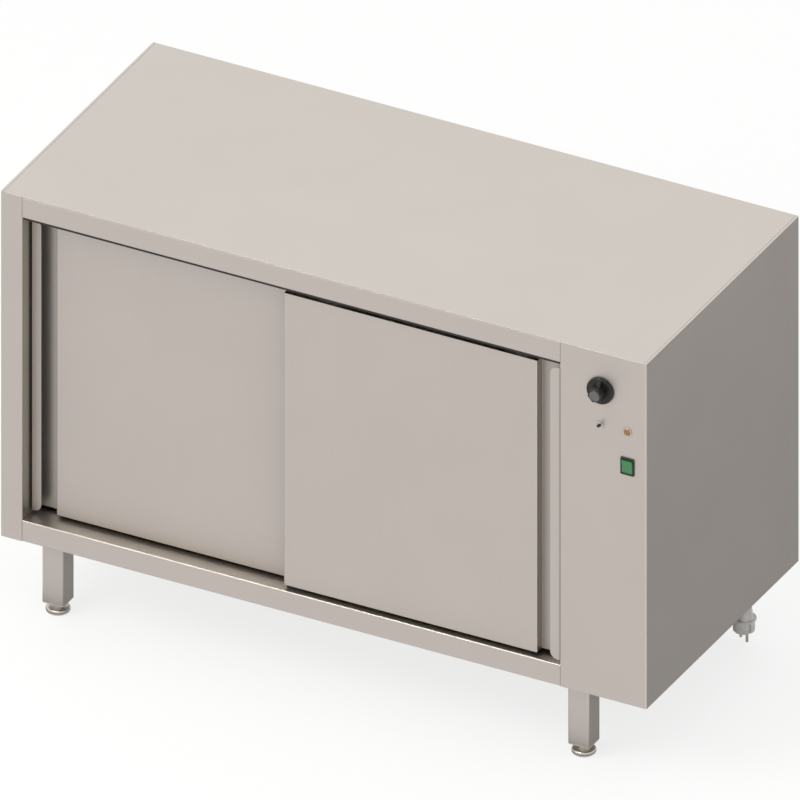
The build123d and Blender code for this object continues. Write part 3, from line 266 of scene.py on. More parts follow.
def cast_metal(name, colour, roughness, size, contrast=0.05, bump=0.1):
    """Metal without a grain: plated, turned or extruded, with soft variation of gloss."""
    material = new_material(name)
    noise = blotches(material, size, detail=5.0)
    tone = varied(material, noise, shade(colour, 1 - contrast), shade(colour, 1 + contrast))
    gloss = uneven_gloss(material, noise, roughness, by=0.06)
    normal = relief(material, noise, strength=bump, distance=0.05 * MM)
    shader = add_node(material, "ShaderNodeBsdfPrincipled", Metallic=1.0,
                      links={"Base Color": tone, "Roughness": gloss, "Normal": normal})
    return surfaced(material, shader)


def moulded_plastic(name, colour, roughness, ior, texture=0.4 * MM, contrast=0.04, bump=0.12):
    """Moulded plastic: spark-eroded texture of the tool, slight variation of tone and gloss."""
    material = new_material(name)
    fine = blotches(material, texture)
    broad = blotches(material, FLOW_MARKS)
    tone = varied(material, broad, shade(colour, 1 - contrast), shade(colour, 1 + contrast))
    gloss = uneven_gloss(material, broad, roughness, by=0.05)
    normal = relief(material, fine, strength=bump, distance=0.04 * MM)
    shader = add_node(material, "ShaderNodeBsdfPrincipled", IOR=ior,
                      links={"Base Color": tone, "Roughness": gloss, "Normal": normal})
    return surfaced(material, shader)


# ---- the cabinet's materials ----
def satin_stainless_body(finish):
    """AISI 304 sheet, ground with 240 grit: even satin sheen with lines along the longer side."""
    return brushed_metal("satin_stainless_body", finish.steel, roughness=0.42, pitch=finish.grain_pitch)


def satin_stainless_door(finish):
    """The same sheet on the doors with its lines upright, and painted shade that reaches further in from the
    frame round it.
    """
    return brushed_metal("satin_stainless_door", finish.steel, roughness=0.42, pitch=finish.grain_pitch,
                         turned=True, reach=260 * MM, open_at=1.0)


def satin_stainless_lining(finish):
    """AISI 304 mill sheet inside the chamber, a little duller and marked by plates."""
    return brushed_metal("satin_stainless_lining", finish.lining, roughness=0.48, pitch=finish.grain_pitch,
                         contrast=0.04)


def ground_tube_stainless(finish):
    """Square stainless tube ground along its length: upright lines, a little glossier than the sheet."""
    return brushed_metal("ground_tube_stainless", finish.steel, roughness=0.40, pitch=finish.grain_pitch,
                         turned=True)


def turned_stainless(finish):
    """Lathe-turned stainless of the feet: smoother and glossier than the sheet, without lines."""
    return cast_metal("turned_stainless", finish.steel, roughness=0.35, size=6 * MM, contrast=0.03)


def mineral_wool_board():
    """Bonded mineral wool: matted fibres, dull ochre."""
    material = new_material("mineral_wool_board")
    fibres = grain_lines(material, pitch=1.6 * MM, length=9 * MM)
    clumps = blotches(material, 25 * MM, detail=6.0)
    tone = varied(material, clumps, "A5965C", "C9BC86")
    normal = relief(material, fibres, strength=0.7, distance=0.8 * MM)
    shader = add_node(material, "ShaderNodeBsdfPrincipled", Roughness=0.95, Sheen_Weight=0.2,
                      links={"Base Color": tone, "Normal": normal})
    return surfaced(material, shader)


def amber_acrylic(finish):
    """Amber acrylic lens over a neon lamp: clear gloss, glowing a little from inside."""
    material = new_material("amber_acrylic")
    swirl = blotches(material, 5 * MM)
    tone = varied(material, swirl, shade(finish.amber, 0.88), shade(finish.amber, 1.1))
    shader = add_node(material, "ShaderNodeBsdfPrincipled", Roughness=0.12, IOR=1.49, Coat_Weight=0.6,
                      Coat_Roughness=0.05, Emission_Strength=0.08, Subsurface_Weight=0.3,
                      links={"Base Color": tone, "Emission Color": tone})
    shader.inputs["Subsurface Scale"].default_value = 2 * MM
    return surfaced(material, shader)


def green_polycarbonate(finish):
    """Translucent green polycarbonate of the lit rocker, fine moulding texture under gloss."""
    material = new_material("green_polycarbonate")
    grain = blotches(material, 0.5 * MM)
    tone = varied(material, grain, shade(finish.green, 0.92), shade(finish.green, 1.08))
    normal = relief(material, grain, strength=0.08, distance=0.05 * MM)
    shader = add_node(material, "ShaderNodeBsdfPrincipled", Roughness=0.3, IOR=1.58, Coat_Weight=0.3,
                      Emission_Strength=0.08, Subsurface_Weight=0.15,
                      links={"Base Color": tone, "Emission Color": tone, "Normal": normal})
    shader.inputs["Subsurface Scale"].default_value = 1.5 * MM
    return surfaced(material, shader)


def lead_sheath(finish):
    """Extruded soft PVC of the lead: dull gloss on a faintly uneven skin."""
    return moulded_plastic("extruded_pvc_sheath", finish.lead, roughness=0.5, ior=1.53,
                           texture=1.5 * MM, bump=0.15)


def phenolic_knob(finish):
    """Moulded phenolic resin: deep black with a soft sheen on the flats of the grip."""
    return moulded_plastic("moulded_phenolic_black", finish.knob, roughness=0.42, ior=1.5, bump=0.2)


def pvc_plug(finish):
    """Moulded PVC of the plug: pale grey, dull like rubber."""
    return moulded_plastic("moulded_pvc_plug", finish.plug, roughness=0.45, ior=1.53, texture=0.6 * MM)


def zinc_plated_steel():
    """Zinc plate on the hangers, motor and bolts: cool grey, cloudy."""
    return cast_metal("zinc_plated_steel", "A9ADB0", roughness=0.35, size=9 * MM, contrast=0.08)


def bright_nickel_plate():
    """Bright nickel plate on the toggle's nut and the lamp's bezel: nearly a mirror, a little warm."""
    return cast_metal("bright_nickel_plate", "C9C6C0", roughness=0.18, size=4 * MM)


def heat_tinted_sheath():
    """Steel sheath of the heater, tinted brown in wide clouds by its own heat."""
    return cast_metal("heat_tinted_sheath", "6E655C", roughness=0.5, size=15 * MM, contrast=0.15)


def bright_drawn_wire():
    """Drawn steel wire of the guard, and bright screws: smooth, with small sharp highlights."""
    return cast_metal("bright_drawn_wire", "C6C5C2", roughness=0.25, size=8 * MM)


def nickel_plated_brass():
    """Nickel plate on the plug's brass pins, rubbed dull by sockets."""
    return cast_metal("nickel_plated_brass", "D2CEC6", roughness=0.42, size=5 * MM)


def extruded_aluminium():
    """Extruded aluminium of the doors' track: long lines from the die, cooler than the steel."""
    return brushed_metal("extruded_aluminium", "BDBDBE", roughness=0.34, pitch=0.8 * MM, length=300 * MM)


def pressed_aluminium():
    """Pressed aluminium sheet of the fan: fine lines on a bluish grey."""
    return brushed_metal("pressed_aluminium", "B9BABC", roughness=0.38, pitch=0.8 * MM)


def turned_acetal():
    """Acetal of the rollers: milky white, smooth."""
    return moulded_plastic("turned_acetal", "DAD9D3", roughness=0.35, ior=1.48)


def nylon_grey():
    """Moulded nylon of the inserts in the legs: light grey, half matt."""
    return moulded_plastic("moulded_nylon_grey", "A5A098", roughness=0.5, ior=1.53)


def nylon_dark_grey():
    """Moulded nylon of the gland and the lead's clip: dark grey, half matt."""
    return moulded_plastic("moulded_nylon_dark_grey", "6C6B68", roughness=0.5, ior=1.53)


def abs_grey():
    """Moulded ABS of the knob's insert: flat dark grey against the black of the knob."""
    return moulded_plastic("moulded_abs_grey", "5B5855", roughness=0.5, ior=1.5)


def urea_ivory():
    """Moulded urea resin of the thermostat's housing: dull ivory."""
    return moulded_plastic("moulded_urea_ivory", "CFCABB", roughness=0.5, ior=1.55)


def polycarbonate_black():
    """Moulded black polycarbonate of the switches: a little warm, half matt."""
    return moulded_plastic("moulded_polycarbonate_black", "15120F", roughness=0.5, ior=1.58)


def cabinet_materials(finish):
    """Every slot of the record with its material."""
    return {
        "stainless_body": satin_stainless_body(finish),
        "stainless_lining": satin_stainless_lining(finish),
        "stainless_door": satin_stainless_door(finish),
        "leg_steel": ground_tube_stainless(finish),
        "foot_steel": turned_stainless(finish),
        "mineral_wool": mineral_wool_board(),
        "zinc_steel": zinc_plated_steel(),
        "guard_wire": bright_drawn_wire(),
        "switch_chrome": bright_nickel_plate(),
        "plug_nickel": nickel_plated_brass(),
        "heater_sheath": heat_tinted_sheath(),
        "track_aluminium": extruded_aluminium(),
        "fan_aluminium": pressed_aluminium(),
        "roller_acetal": turned_acetal(),
        "insert_plastic": nylon_grey(),
        "gland_plastic": nylon_dark_grey(),
        "knob_plastic": phenolic_knob(finish),
        "cap_plastic": abs_grey(),
        "thermostat_housing": urea_ivory(),
        "lever_black": polycarbonate_black(),
        "amber_lens": amber_acrylic(finish),
        "green_lens": green_polycarbonate(finish),
        "cord_sheath": lead_sheath(finish),
        "plug_plastic": pvc_plug(finish),
    }


# ---- making pieces ----
def material_of(slot):
    """The material that a record slot was given."""
    return bpy.data.materials[bpy.context.scene["warmer_slots"][slot]]


def link_piece(name, mesh, slot, body):
    """Puts a mesh in the scene as a piece with a slot's material that rides on a body."""
    piece = bpy.data.objects.new(name, mesh)
    bpy.context.scene.collection.objects.link(piece)
    piece.data.materials.append(material_of(slot))
    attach(piece, body)
    return piece


def axis_matrix(origin, direction):
    """A placement whose Z runs along direction."""
    turn = Vector(direction).normalized().to_track_quat("Z", "Y").to_matrix().to_4x4()
    return Matrix.Translation(origin) @ turn


def hexagon_reach(radius, angle):
    """How far a hexagon with this corner radius reaches at an angle."""
    from_flat = (angle % (math.pi / 3)) - math.pi / 6
    return radius * math.cos(math.pi / 6) / math.cos(from_flat)


def lathe(bm, matrix, profile, segments=32, hexagon_from=None):
    """Revolves (radius, height) points about Z; from point hexagon_from on, the rings are hexagons."""
    rings = []
    for number, (radius, height) in enumerate(profile):
        if radius == 0:
            rings.append([bm.verts.new(matrix @ Vector((0, 0, height)))])
            continue
        is_hexagon = hexagon_from is not None and number >= hexagon_from
        ring = []
        for step in range(segments):
            angle = 2 * math.pi * step / segments
            reach = hexagon_reach(radius, angle) if is_hexagon else radius
            corner = Vector((reach * math.cos(angle), reach * math.sin(angle), height))
            ring.append(bm.verts.new(matrix @ corner))
        rings.append(ring)
    for low, high in zip(rings, rings[1:]):
        for step in range(segments):
            after = (step + 1) % segments
            corners = [low[step % len(low)], low[after % len(low)],
                       high[after % len(high)], high[step % len(high)]]
            unique = list(dict.fromkeys(corners))
            if len(unique) > 2:
                bm.faces.new(unique)
    if len(rings[0]) > 1:
        bm.faces.new(list(reversed(rings[0])))
    if len(rings[-1]) > 1:
        bm.faces.new(rings[-1])


def scaled(outline, radius, height):
    """A lathe profile from an outline given as shares of a radius and a height."""
    return [(radius * out, height * up) for out, up in outline]


def join_rings(bm, low, high):
    """Faces between two closed rings with as many points each."""
    for step in range(len(low)):
        after = (step + 1) % len(low)
        bm.faces.new((low[step], low[after], high[after], high[step]))


def mesh_from(bm, name, sharp=35.0):
    """A mesh with smooth faces and edges sharper than the angle kept crisp."""
    bmesh.ops.recalc_face_normals(bm, faces=bm.faces)
    for face in bm.faces:
        face.smooth = True
    for edge in bm.edges:
        if len(edge.link_faces) == 2 and edge.calc_face_angle(0.0) > math.radians(sharp):
            edge.smooth = False
    mesh = bpy.data.meshes.new(name)
    bm.to_mesh(mesh)
    bm.free()
    return mesh


# outlines as shares of the head's radius and height, from the seat upwards
BUTTON_DOME = [(1.0, 0.0), (1.0, 0.2), (0.93, 0.5), (0.72, 0.87), (0.5, 1.0)]
BUTTON_SOCKET = [(0.46, 0.97), (0.44, 0.33), (0, 0.23)]
# outlines as shares of the hexagon's corner radius
BOLT_WASHER = [(1.45, 0.0), (1.45, 0.2), (1.38, 0.25), (0, 0.25)]
BOLT_HEAD = [(1.0, 0.25), (1.0, 0.85), (0.86, 0.95), (0, 0.95)]


def button_screws(name, places, direction, radius, slot, body, dome=0.6):
    """A set of button-head screws in one mesh; dome is the head's height over its radius."""
    bm = bmesh.new()
    head = scaled(BUTTON_DOME + BUTTON_SOCKET, radius, radius * dome)
    for where in places:
        lathe(bm, axis_matrix(where, direction), head, segments=24, hexagon_from=len(BUTTON_DOME))
    link_piece(name, mesh_from(bm, name, sharp=40), slot, body)


def hexagon_bolts(name, places, direction, radius, slot, body):
    """A set of hexagon-head bolts with a chamfered top and a washer, in one mesh."""
    bm = bmesh.new()
    for where in places:
        matrix = axis_matrix(where, direction)
        lathe(bm, matrix, scaled(BOLT_WASHER, radius, radius), segments=36)
        lathe(bm, matrix, scaled(BOLT_HEAD, radius, radius), segments=36, hexagon_from=0)
    link_piece(name, mesh_from(bm, name, sharp=30), slot, body)


# ---- the stage ----
CAMERA_AZIMUTH = math.radians(27.7)
CAMERA_ELEVATION = math.radians(30.85)
CAMERA_DISTANCE = 5.0
VIEW_WIDTH = 1.316          # metres
VIEW_RIGHT = 0.6571         # the view's middle, from the body's front left bottom corner
VIEW_UP = 0.2230
FLOOR_WHITE = "FCFBFA"
FLOOR_GLOW = 0.75           # share of the floor's seen white that no shadow darkens
SKY_AS_LIGHT = 0.9          # strength of the sky where it lights the object; 1 where it is seen
CARD_HEIGHT = 4 * MM        # just above the floor
FRONT_CARD_GREY = "E7E4E6"
FRONT_CARD_CORNERS = ((-3.0, -3.5), (RIGHT - 0.03, FRONT))
REAR_CARD_GREY = "A2A2A3"
REAR_CARD_CORNERS = ((LEFT, FRONT), (RIGHT + 2.4, REAR + 2.6))
KEY_LAMP_AT = (-1.6, -2.6, 3.2)
EDGE_LAMP_AT = (-1.2, -1.6, 3.6)
LAMP_AIM = (0, 0, 0.4)


def camera_axes():
    """Right, up and back of the camera."""
    a, e = CAMERA_AZIMUTH, CAMERA_ELEVATION
    right = Vector((math.cos(a), math.sin(a), 0))
    up = Vector((-math.sin(a) * math.sin(e), math.cos(a) * math.sin(e), math.cos(e)))
    back = Vector((math.sin(a) * math.cos(e), -math.cos(a) * math.cos(e), math.sin(e)))
    return right, up, back


def add_camera():
    """A long-lens camera with parallel rays, looking down on the right front corner."""
    right, up, back = camera_axes()
    data = bpy.data.cameras.new("studio_camera")
    data.type = "ORTHO"
    data.ortho_scale = VIEW_WIDTH
    data.clip_end = 50
    camera = bpy.data.objects.new("studio_camera", data)
    bpy.context.scene.collection.objects.link(camera)
    middle = place(0, 0, 0) + right * VIEW_RIGHT + up * VIEW_UP
    turn = Matrix((right, up, back)).transposed().to_4x4()
    camera.matrix_world = Matrix.Translation(middle + back * CAMERA_DISTANCE) @ turn
    bpy.context.scene.camera = camera


def seen_as_background(owner):
    """1 for camera, glossy and transmission rays, which see the plain background."""
    path = add_node(owner, "ShaderNodeLightPath")
    either = calculate(owner, "MAXIMUM", path.outputs["Is Camera Ray"], path.outputs["Is Glossy Ray"])
    return calculate(owner, "MAXIMUM", either, path.outputs["Is Transmission Ray"])


def floor_material():
    """Matt white studio floor: near white by itself, and its lit part keeps the object's shadow."""
    material = new_material("matt_white_paint_floor")
    speck = blotches(material, 30 * MM)
    tone = varied(material, speck, shade(FLOOR_WHITE, 0.995), shade(FLOOR_WHITE, 1.0))
    paint = add_node(material, "ShaderNodeBsdfDiffuse", links={"Color": tone})
    glow = add_node(material, "ShaderNodeEmission", Strength=1.0, Color=linear("FFFFFF"))
    both = add_node(material, "ShaderNodeMixShader", links={1: paint.outputs[0], 2: glow.outputs[0]})
    factor = calculate(material, "MULTIPLY", seen_as_background(material), FLOOR_GLOW)
    material.node_tree.links.new(factor, both.inputs["Fac"])
    return surfaced(material, both)


def lit_panel(grey):
    """Translucent grey panel, evenly lit from behind."""
    material = new_material("opal_acrylic_panel")
    tone = varied(material, blotches(material, 100 * MM), shade(grey, 0.99), shade(grey, 1.01))
    shader = add_node(material, "ShaderNodeEmission", Strength=1.0, links={"Color": tone})
    return surfaced(material, shader)


def stage_plane(name, corners, material):
    """A flat stage piece from four corners."""
    mesh = bpy.data.meshes.new(name)
    mesh.from_pydata(corners, [], [(0, 1, 2, 3)])
    plane = bpy.data.objects.new(name, mesh)
    bpy.context.scene.collection.objects.link(plane)
    mesh.materials.append(material)
    return plane


def level_corners(low, high, height):
    """The four corners of a level rectangle."""
    return [(low[0], low[1], height), (high[0], low[1], height),
            (high[0], high[1], height), (low[0], high[1], height)]


def reflection_card(name, low, high, grey):
    """A grey panel just above the floor, seen only in what is glossy."""
    card = stage_plane(name, level_corners(low, high, CARD_HEIGHT), lit_panel(grey))
    card.visible_camera = False
    card.visible_diffuse = False
    card.visible_transmission = False
    card.visible_shadow = False


def area_lamp(name, where, size, power):
    """A square white soft box pointed at the cabinet."""
    data = bpy.data.lights.new(name, "AREA")
    data.shape = "SQUARE"
    data.size = size
    data.energy = power
    lamp = bpy.data.objects.new(name, data)
    bpy.context.scene.collection.objects.link(lamp)
    lamp.matrix_world = axis_matrix(Vector(where), Vector(where) - Vector(LAMP_AIM))
    return lamp


def add_world():
    """An even white sky: full white where it is seen, softer as light."""
    world = bpy.data.worlds.new("studio_sky")
    world.use_nodes = True
    world.node_tree.nodes.clear()
    strength = spread(world, seen_as_background(world), SKY_AS_LIGHT, 1.0)
    sky = add_node(world, "ShaderNodeBackground", links={"Strength": strength}, Color=linear("FFFFFF"))
    add_node(world, "ShaderNodeOutputWorld", links={"Surface": sky.outputs[0]})
    bpy.context.scene.world = world


class WARMER_OT_stage(bpy.types.Operator):
    """Set up the camera, floor, sky and lamps"""
    bl_idname = "warmer.stage"
    bl_label = "Studio"

    def execute(self, context):
        half = context.scene.warmer_sizes.floor_size / 2
        add_camera()
        add_world()
        corners = level_corners((-half, -half), (half, half), 0)
        stage_plane("studio_floor", corners, floor_material())
        reflection_card("front_card", *FRONT_CARD_CORNERS, FRONT_CARD_GREY)
        reflection_card("rear_card", *REAR_CARD_CORNERS, REAR_CARD_GREY)
        key = area_lamp("key_lamp", KEY_LAMP_AT, size=2.0, power=60)
        key.visible_glossy = False
        edge = area_lamp("edge_lamp", EDGE_LAMP_AT, size=0.6, power=40)
        edge.visible_diffuse = False
        context.scene.view_settings.view_transform = "Standard"
        return {"FINISHED"}


# ---- finishes on the CAD pieces ----
class WARMER_OT_finishes(bpy.types.Operator):
    """Give every piece of the frame its material"""
    bl_idname = "warmer.finishes"
    bl_label = "Finishes"

    def execute(self, context):
        made = cabinet_materials(context.scene.warmer_finish)
        context.scene["warmer_slots"] = {slot: material.name for slot, material in made.items()}
        for part in frame["record"]["subparts"]:
            node = NODES[part["node"]]
            node.data.materials.clear()
            node.data.materials.append(made[part["material_slot"]])
        return {"FINISHED"}


# ---- mains lead: places in millimetres, across and back from the gland, up from the underside ----
GLAND_AT = (1120.0, 300.0)  # from the body's left side and front face
COIL_OFFSET = (-135.0, 30.0)
COIL_RADIUS = 41.0
COIL_MIDDLE = -142.2
COIL_STEPS = 14             # points to a turn
SEAT_HOLD = 0.35            # share of a turn's seat before the lead starts to cross to the next seat
SEAT_CROSSING = 0.3         # share in which it crosses
PLUG_OFFSET = (3.2, 191.2)
PLUG_TOP = -58.5
FEED_ROUTE = [
    (0.0, 0.0, -26.0),
    (0.0, 0.0, -52.0),
    (-3.0, -1.0, -82.0),
    (-16.0, -4.0, -112.0),
    (-45.0, -8.0, -132.0),
    (-87.0, -10.5, -138.5),
]
TAIL_ROUTE = [
    (-96.0, 72.5, COIL_MIDDLE - 3.5),
    (-62.0, 79.0, -139.5),
    (-36.0, 90.0, -118.5),
    (-19.0, 101.0, -89.0),
    (-9.0, 111.0, -59.0),
    (-3.0, 119.0, -29.0),
    (0.0, 140.0, -7.5),
    (2.5, 170.0, -7.5),
    (*PLUG_OFFSET, -28.6),
    (*PLUG_OFFSET, PLUG_TOP),
]


def coil_points(turns, diameter):
    """Turns two across and two high, clockwise from the front to the rear, the last one a half turn."""
    half = diameter / MM / 2
    seats = [(half, half), (-half, half), (-half, -half), (half, -half)]
    total = int((turns - 0.5) * COIL_STEPS)
    points = []
    for step in range(total + 1):
        share = step / total * (len(seats) - 1)
        near = min(int(share), len(seats) - 2)
        blend = max(0.0, min(1.0, (share - near - SEAT_HOLD) / SEAT_CROSSING))
        out, rise = (a * (1 - blend) + b * blend for a, b in zip(seats[near], seats[near + 1]))
        angle = -math.pi / 2 - 2 * math.pi * step / COIL_STEPS
        radius = COIL_RADIUS + out
        x = COIL_OFFSET[0] + radius * math.cos(angle)
        y = COIL_OFFSET[1] + radius * math.sin(angle)
        points.append((x, y, COIL_MIDDLE + rise))
    return points


def from_gland(x, y, z):
    """Millimetres from the gland's axis and the body's underside, as metres in the frame."""
    return place(GLAND_AT[0] + x, GLAND_AT[1] + y, z)


class WARMER_OT_mains_lead(bpy.types.Operator):
    """Lay the mains lead with its put-away coil, tie and strain relief"""
    bl_idname = "warmer.mains_lead"
    bl_label = "Mains lead"

    def execute(self, context):
        sizes = context.scene.warmer_sizes
        diameter = sizes.lead_diameter
        points = FEED_ROUTE + coil_points(sizes.coil_turns, diameter) + TAIL_ROUTE
        curve = bpy.data.curves.new("mains_lead", "CURVE")
        curve.dimensions = "3D"
        spline = curve.splines.new("NURBS")
        spline.points.add(len(points) - 1)
        for point, here in zip(spline.points, points):
            point.co = (*from_gland(*here), 1.0)
        spline.order_u = 3
        spline.use_endpoint_u = True
        spline.resolution_u = 8
        curve.bevel_depth = diameter / 2
        curve.bevel_resolution = 6
        curve.use_fill_caps = True
        piece = bpy.data.objects.new("mains_lead", curve)
        context.scene.collection.objects.link(piece)
        curve.materials.append(material_of("cord_sheath"))
        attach(piece, "cabinet")
        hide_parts("cord_feed", "cord_coil", "cord_tail")
        relief_piece = strain_relief(diameter)
        tie = coil_tie(diameter)
        return {"FINISHED"}


BOOT_LENGTH = 24 * MM
BOOT_SEAT = 0.5 * MM        # how far the boot stands in the gland
BOOT_RINGS = 5
BOOT_WALL = 2.2 * MM        # beyond the lead, at the gland
BOOT_TAPER = 1.5 * MM       # what the wall loses over the boot's length
BOOT_GROOVE = 0.7 * MM
BOOT_LIP = 0.3 * MM         # beyond the lead, at the boot's end


def strain_relief(diameter):
    """Tapered boot with relief rings where the lead leaves the gland."""
    bm = bmesh.new()
    thin = diameter / 2
    pitch = BOOT_LENGTH / BOOT_RINGS
    profile = [(0, 0), (thin + BOOT_WALL, 0)]
    for ring in range(BOOT_RINGS):
        crest = thin + BOOT_WALL - BOOT_TAPER * ring / BOOT_RINGS
        groove = crest - BOOT_GROOVE
        profile += [(crest, pitch * (ring + 0.15)), (crest, pitch * (ring + 0.65))]
        profile += [(groove, pitch * (ring + 0.7)), (groove, pitch * (ring + 0.95))]
    profile += [(thin + BOOT_LIP, BOOT_LENGTH), (0, BOOT_LENGTH)]
    where = from_gland(*FEED_ROUTE[0]) + Vector((0, 0, BOOT_SEAT))
    lathe(bm, axis_matrix(where, (0, 0, -1)), profile)
    mesh = mesh_from(bm, "lead_strain_relief", sharp=30)
    return link_piece("lead_strain_relief", mesh, "gland_plastic", "cabinet")


TIE_WIDTH = 10 * MM
TIE_THICKNESS = 0.9 * MM
TIE_SLACK = 1.0 * MM        # between the strap and the turns
TIE_FLOOR_GAP = 0.2 * MM
TIE_STEPS = 28              # points around it


def rounded_square(angle):
    """A place on a square with well rounded corners, 1 from its middle to each side."""
    sides = (math.cos(angle), math.sin(angle))
    return tuple(math.copysign(abs(side) ** 0.5, side) for side in sides)


def coil_tie(diameter):
    """Hook-and-loop strap closed around the turns, lifted where it would touch the floor."""
    half = diameter + TIE_SLACK
    bm = bmesh.new()
    centre = from_gland(COIL_OFFSET[0] - COIL_RADIUS, COIL_OFFSET[1], COIL_MIDDLE)
    rings = []
    for side, reach in ((-1, half), (-1, half + TIE_THICKNESS), (1, half + TIE_THICKNESS), (1, half)):
        ring = []
        for step in range(TIE_STEPS):
            across, high = rounded_square(2 * math.pi * step / TIE_STEPS)
            corner = Vector((across * reach, side * TIE_WIDTH / 2, high * reach))
            ring.append(bm.verts.new(centre + corner))
        rings.append(ring)
    for low, high in zip(rings, rings[1:] + rings[:1]):
        join_rings(bm, low, high)
    lowest = min(vert.co.z for vert in bm.verts)
    for vert in bm.verts:
        vert.co.z += max(0.0, TIE_FLOOR_GAP - lowest)
    return link_piece("coil_tie", mesh_from(bm, "coil_tie", sharp=50), "lever_black", "cabinet")


# ---- screws and bolts ----
SHEET_INSET = 12 * MM       # screws in from the back panel's edges
LEG_BOLT = 5.0 * MM         # corner radius of the head
LEG_INSET = 10 * MM         # bolts in from the leg's sides
LEG_PLATE = 3 * MM          # bolt heads below the leg's top
HANGER_SCREW = 2.6 * MM     # radius of the head, as in the next two
GUARD_SCREW = 2.2 * MM
CLIP_SCREW = 3.0 * MM
HANGER_NEAR = 6 * MM        # a hanger's two screws, in from the outer end of its foot
HANGER_FAR = 38 * MM
HANGER_BACK = 3.5 * MM      # screws in front of the foot's rear edge
HANGER_FOOT = 2 * MM        # thickness of the foot, which stands on the door's top
GUARD_INSET = 2 * MM        # screws in from the guard's rim
GUARD_TURN = 22.5           # degrees, half way between two spokes
CLIP_INSET = 6 * MM         # screw in from the end of the clip's strap
CLIP_DEPTH = 2.8 * MM       # the strap's underside, below the clip's top


def back_panel_screws(radius):
    """Screws all round the back panel: five along the top and bottom, two between them on each side."""
    low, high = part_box("back_panel")
    places = []
    for column in range(5):
        x = low.x + SHEET_INSET + (high.x - low.x - 2 * SHEET_INSET) * column / 4
        places += [Vector((x, high.y, z)) for z in (low.z + SHEET_INSET, high.z - SHEET_INSET)]
    for row in range(1, 3):
        z = low.z + (high.z - low.z) * row / 3
        places += [Vector((x, high.y, z)) for x in (low.x + SHEET_INSET, high.x - SHEET_INSET)]
    button_screws("back_panel_screws", places, (0, 1, 0), radius, "guard_wire", "cabinet", dome=0.3)


def leg_plate_bolts():
    """Four bolts under the plate of each leg."""
    places = []
    for leg in ("front_left", "front_right", "rear_left", "rear_right"):
        low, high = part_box(f"leg_{leg}")
        places += [Vector((x, y, high.z - LEG_PLATE)) for x in (low.x + LEG_INSET, high.x - LEG_INSET)
                   for y in (low.y + LEG_INSET, high.y - LEG_INSET)]
    hexagon_bolts("leg_plate_bolts", places, (0, 0, -1), LEG_BOLT, "zinc_steel", "cabinet")


def hanger_screws(door):
    """Two screws through the foot of each of a door's hangers."""
    low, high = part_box(f"{door}_hangers")
    foot_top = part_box(f"{door}_skin")[1].z + HANGER_FOOT
    across = [low.x + HANGER_NEAR, low.x + HANGER_FAR, high.x - HANGER_FAR, high.x - HANGER_NEAR]
    places = [Vector((x, high.y - HANGER_BACK, foot_top)) for x in across]
    button_screws(f"{door}_hanger_screws", places, (0, 0, 1), HANGER_SCREW, "zinc_steel", door)


def fan_guard_screws():
    """Four screws on the guard's rim, each between two spokes."""
    low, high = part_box("fan_guard")
    middle = (low + high) / 2
    reach = (high.z - low.z) / 2 - GUARD_INSET
    places = []
    for quarter in range(4):
        angle = math.radians(GUARD_TURN + 90 * quarter)
        places.append(Vector((low.x, middle.y + reach * math.cos(angle), middle.z + reach * math.sin(angle))))
    button_screws("fan_guard_screws", places, (-1, 0, 0), GUARD_SCREW, "guard_wire", "cabinet")


def cord_clip_screw():
    """The screw that holds the clip of the lead's tail."""
    low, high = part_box("cord_clip")
    places = [Vector((high.x - CLIP_INSET, (low.y + high.y) / 2, high.z - CLIP_DEPTH))]
    button_screws("cord_clip_screw", places, (0, 0, -1), CLIP_SCREW, "guard_wire", "cabinet")


class WARMER_OT_fasteners(bpy.types.Operator):
    """Add the screws and bolts"""
    bl_idname = "warmer.fasteners"
    bl_label = "Fasteners"

    def execute(self, context):
        back_panel_screws(context.scene.warmer_sizes.screw_head)
        leg_plate_bolts()
        for door in ("door_left", "door_right"):
            hanger_screws(door)
        fan_guard_screws()
        cord_clip_screw()
        return {"FINISHED"}


# ---- black strip for the painted shadow under the rail, and sleeve ----
STRIP_FRONT = 1.6 * MM       # behind the rail's face
STRIP_BACK = 4.0 * MM
STRIP_TOP = 0.2 * MM         # below the rail
STRIP_BOTTOM = 4.2 * MM
STRIP_ENDS = 1 * MM          # in from the rail's ends
STRIP_BEVEL = 0.6 * MM
TOGGLE_PIVOT = 2.5 * MM     # in front of the body's face
TOGGLE_RIM = 0.9 * MM       # depth of the lever's end that gives its middle
# radius and height beyond the lever's tip, in millimetres
SLEEVE_OUTLINE = [(2.2, -4.6), (2.6, -4.2), (2.6, -0.5), (2.25, 0.3), (1.4, 0.75), (0, 0.9)]


def shadow_strip_under_rail():
    """Black strip along the top rail's lower edge: a painted shadow line under the rail, made as a dark
    piece.
    """
    low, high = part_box("top_rail")
    front, back = low.y + STRIP_FRONT, low.y + STRIP_BACK
    bottom, top = low.z - STRIP_BOTTOM, low.z - STRIP_TOP
    outline = [(front, top), (front, bottom + STRIP_BEVEL), (front + STRIP_BEVEL, bottom),
               (back - STRIP_BEVEL, bottom), (back, bottom + STRIP_BEVEL), (back, top)]
    bm = bmesh.new()
    left_end = [bm.verts.new((low.x + STRIP_ENDS, y, z)) for y, z in outline]
    right_end = [bm.verts.new((high.x - STRIP_ENDS, y, z)) for y, z in outline]
    join_rings(bm, left_end, right_end)
    bm.faces.new(left_end)
    bm.faces.new(right_end)
    # painted shadow: a dark piece where the shade under the rail falls
    link_piece("rail_shadow_strip", mesh_from(bm, "rail_shadow_strip"), "lever_black", "cabinet")


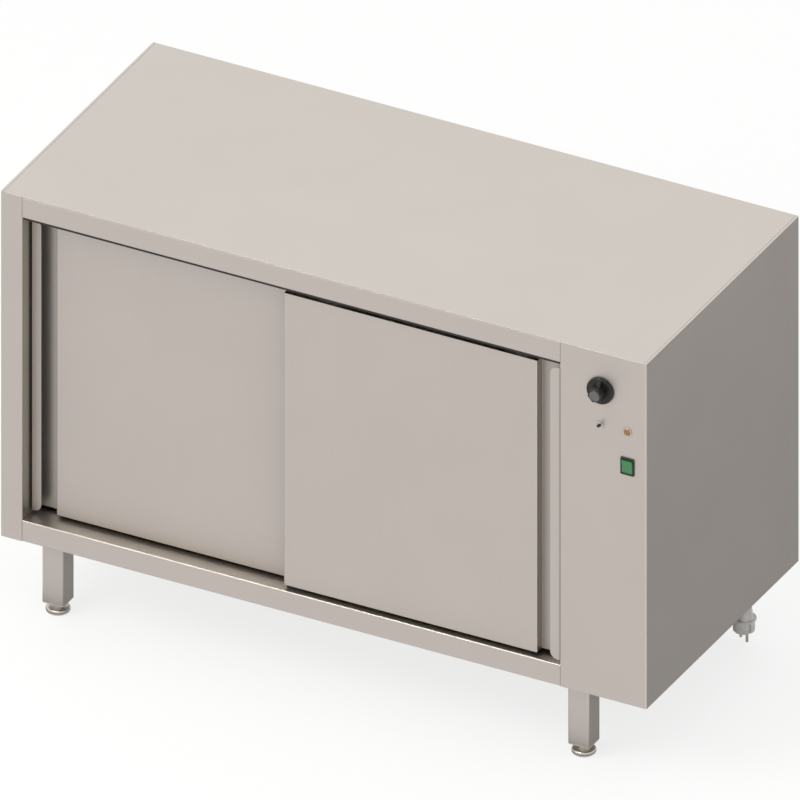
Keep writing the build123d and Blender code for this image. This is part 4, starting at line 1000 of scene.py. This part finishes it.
def toggle_sleeve():
    """Black sleeve pushed over the end of the toggle's lever, for the finger tip."""
    lever = NODES["toggle_lever"]
    points = [lever.matrix_world @ vertex.co for vertex in lever.data.vertices]
    foremost = min(point.y for point in points)
    rim = [point for point in points if point.y < foremost + TOGGLE_RIM]
    tip = sum(rim, Vector()) / len(rim)
    low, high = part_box("toggle_body")
    pivot = Vector(((low.x + high.x) / 2, FRONT - TOGGLE_PIVOT, (low.z + high.z) / 2))
    bm = bmesh.new()
    lathe(bm, axis_matrix(tip, tip - pivot), scaled(SLEEVE_OUTLINE, MM, MM))
    link_piece("toggle_sleeve", mesh_from(bm, "toggle_sleeve"), "lever_black", "fan_switch_lever")


class WARMER_OT_trim(bpy.types.Operator):
    """Add the black strip under the top rail, a painted shadow line, and the sleeve on the toggle"""
    bl_idname = "warmer.trim"
    bl_label = "Shadow strip and sleeve"

    def execute(self, context):
        # painted shadow line under the top rail
        shadow_strip_under_rail()
        toggle_sleeve()
        return {"FINISHED"}


class WARMER_PT_panel(bpy.types.Panel):
    """Lists the cabinet's settings and steps"""
    bl_label = "Plate Warmer"
    bl_idname = "WARMER_PT_panel"
    bl_space_type = "VIEW_3D"
    bl_region_type = "UI"
    bl_category = "Plate Warmer"

    def draw(self, context):
        for group in (context.scene.warmer_finish, context.scene.warmer_sizes):
            column = self.layout.column()
            for key in group.__annotations__:
                column.prop(group, key)
        for operator in OPERATORS:
            self.layout.operator(operator.bl_idname)


OPERATORS = [WARMER_OT_stage, WARMER_OT_finishes, WARMER_OT_mains_lead, WARMER_OT_fasteners,
             WARMER_OT_trim]
CLASSES = [WarmerFinish, WarmerSizes, *OPERATORS, WARMER_PT_panel]


def register():
    """Registers the classes and the scene's settings."""
    for cls in CLASSES:
        bpy.utils.register_class(cls)
    bpy.types.Scene.warmer_finish = PointerProperty(type=WarmerFinish)
    bpy.types.Scene.warmer_sizes = PointerProperty(type=WarmerSizes)


def unregister():
    """Removes them again."""
    del bpy.types.Scene.warmer_sizes
    del bpy.types.Scene.warmer_finish
    for cls in reversed(CLASSES):
        bpy.utils.unregister_class(cls)


def main():
    """Builds everything in order."""
    register()
    bpy.ops.warmer.stage()
    bpy.ops.warmer.finishes()
    bpy.ops.warmer.mains_lead()
    bpy.ops.warmer.fasteners()
    bpy.ops.warmer.trim()


if __name__ == "__main__":
    main()
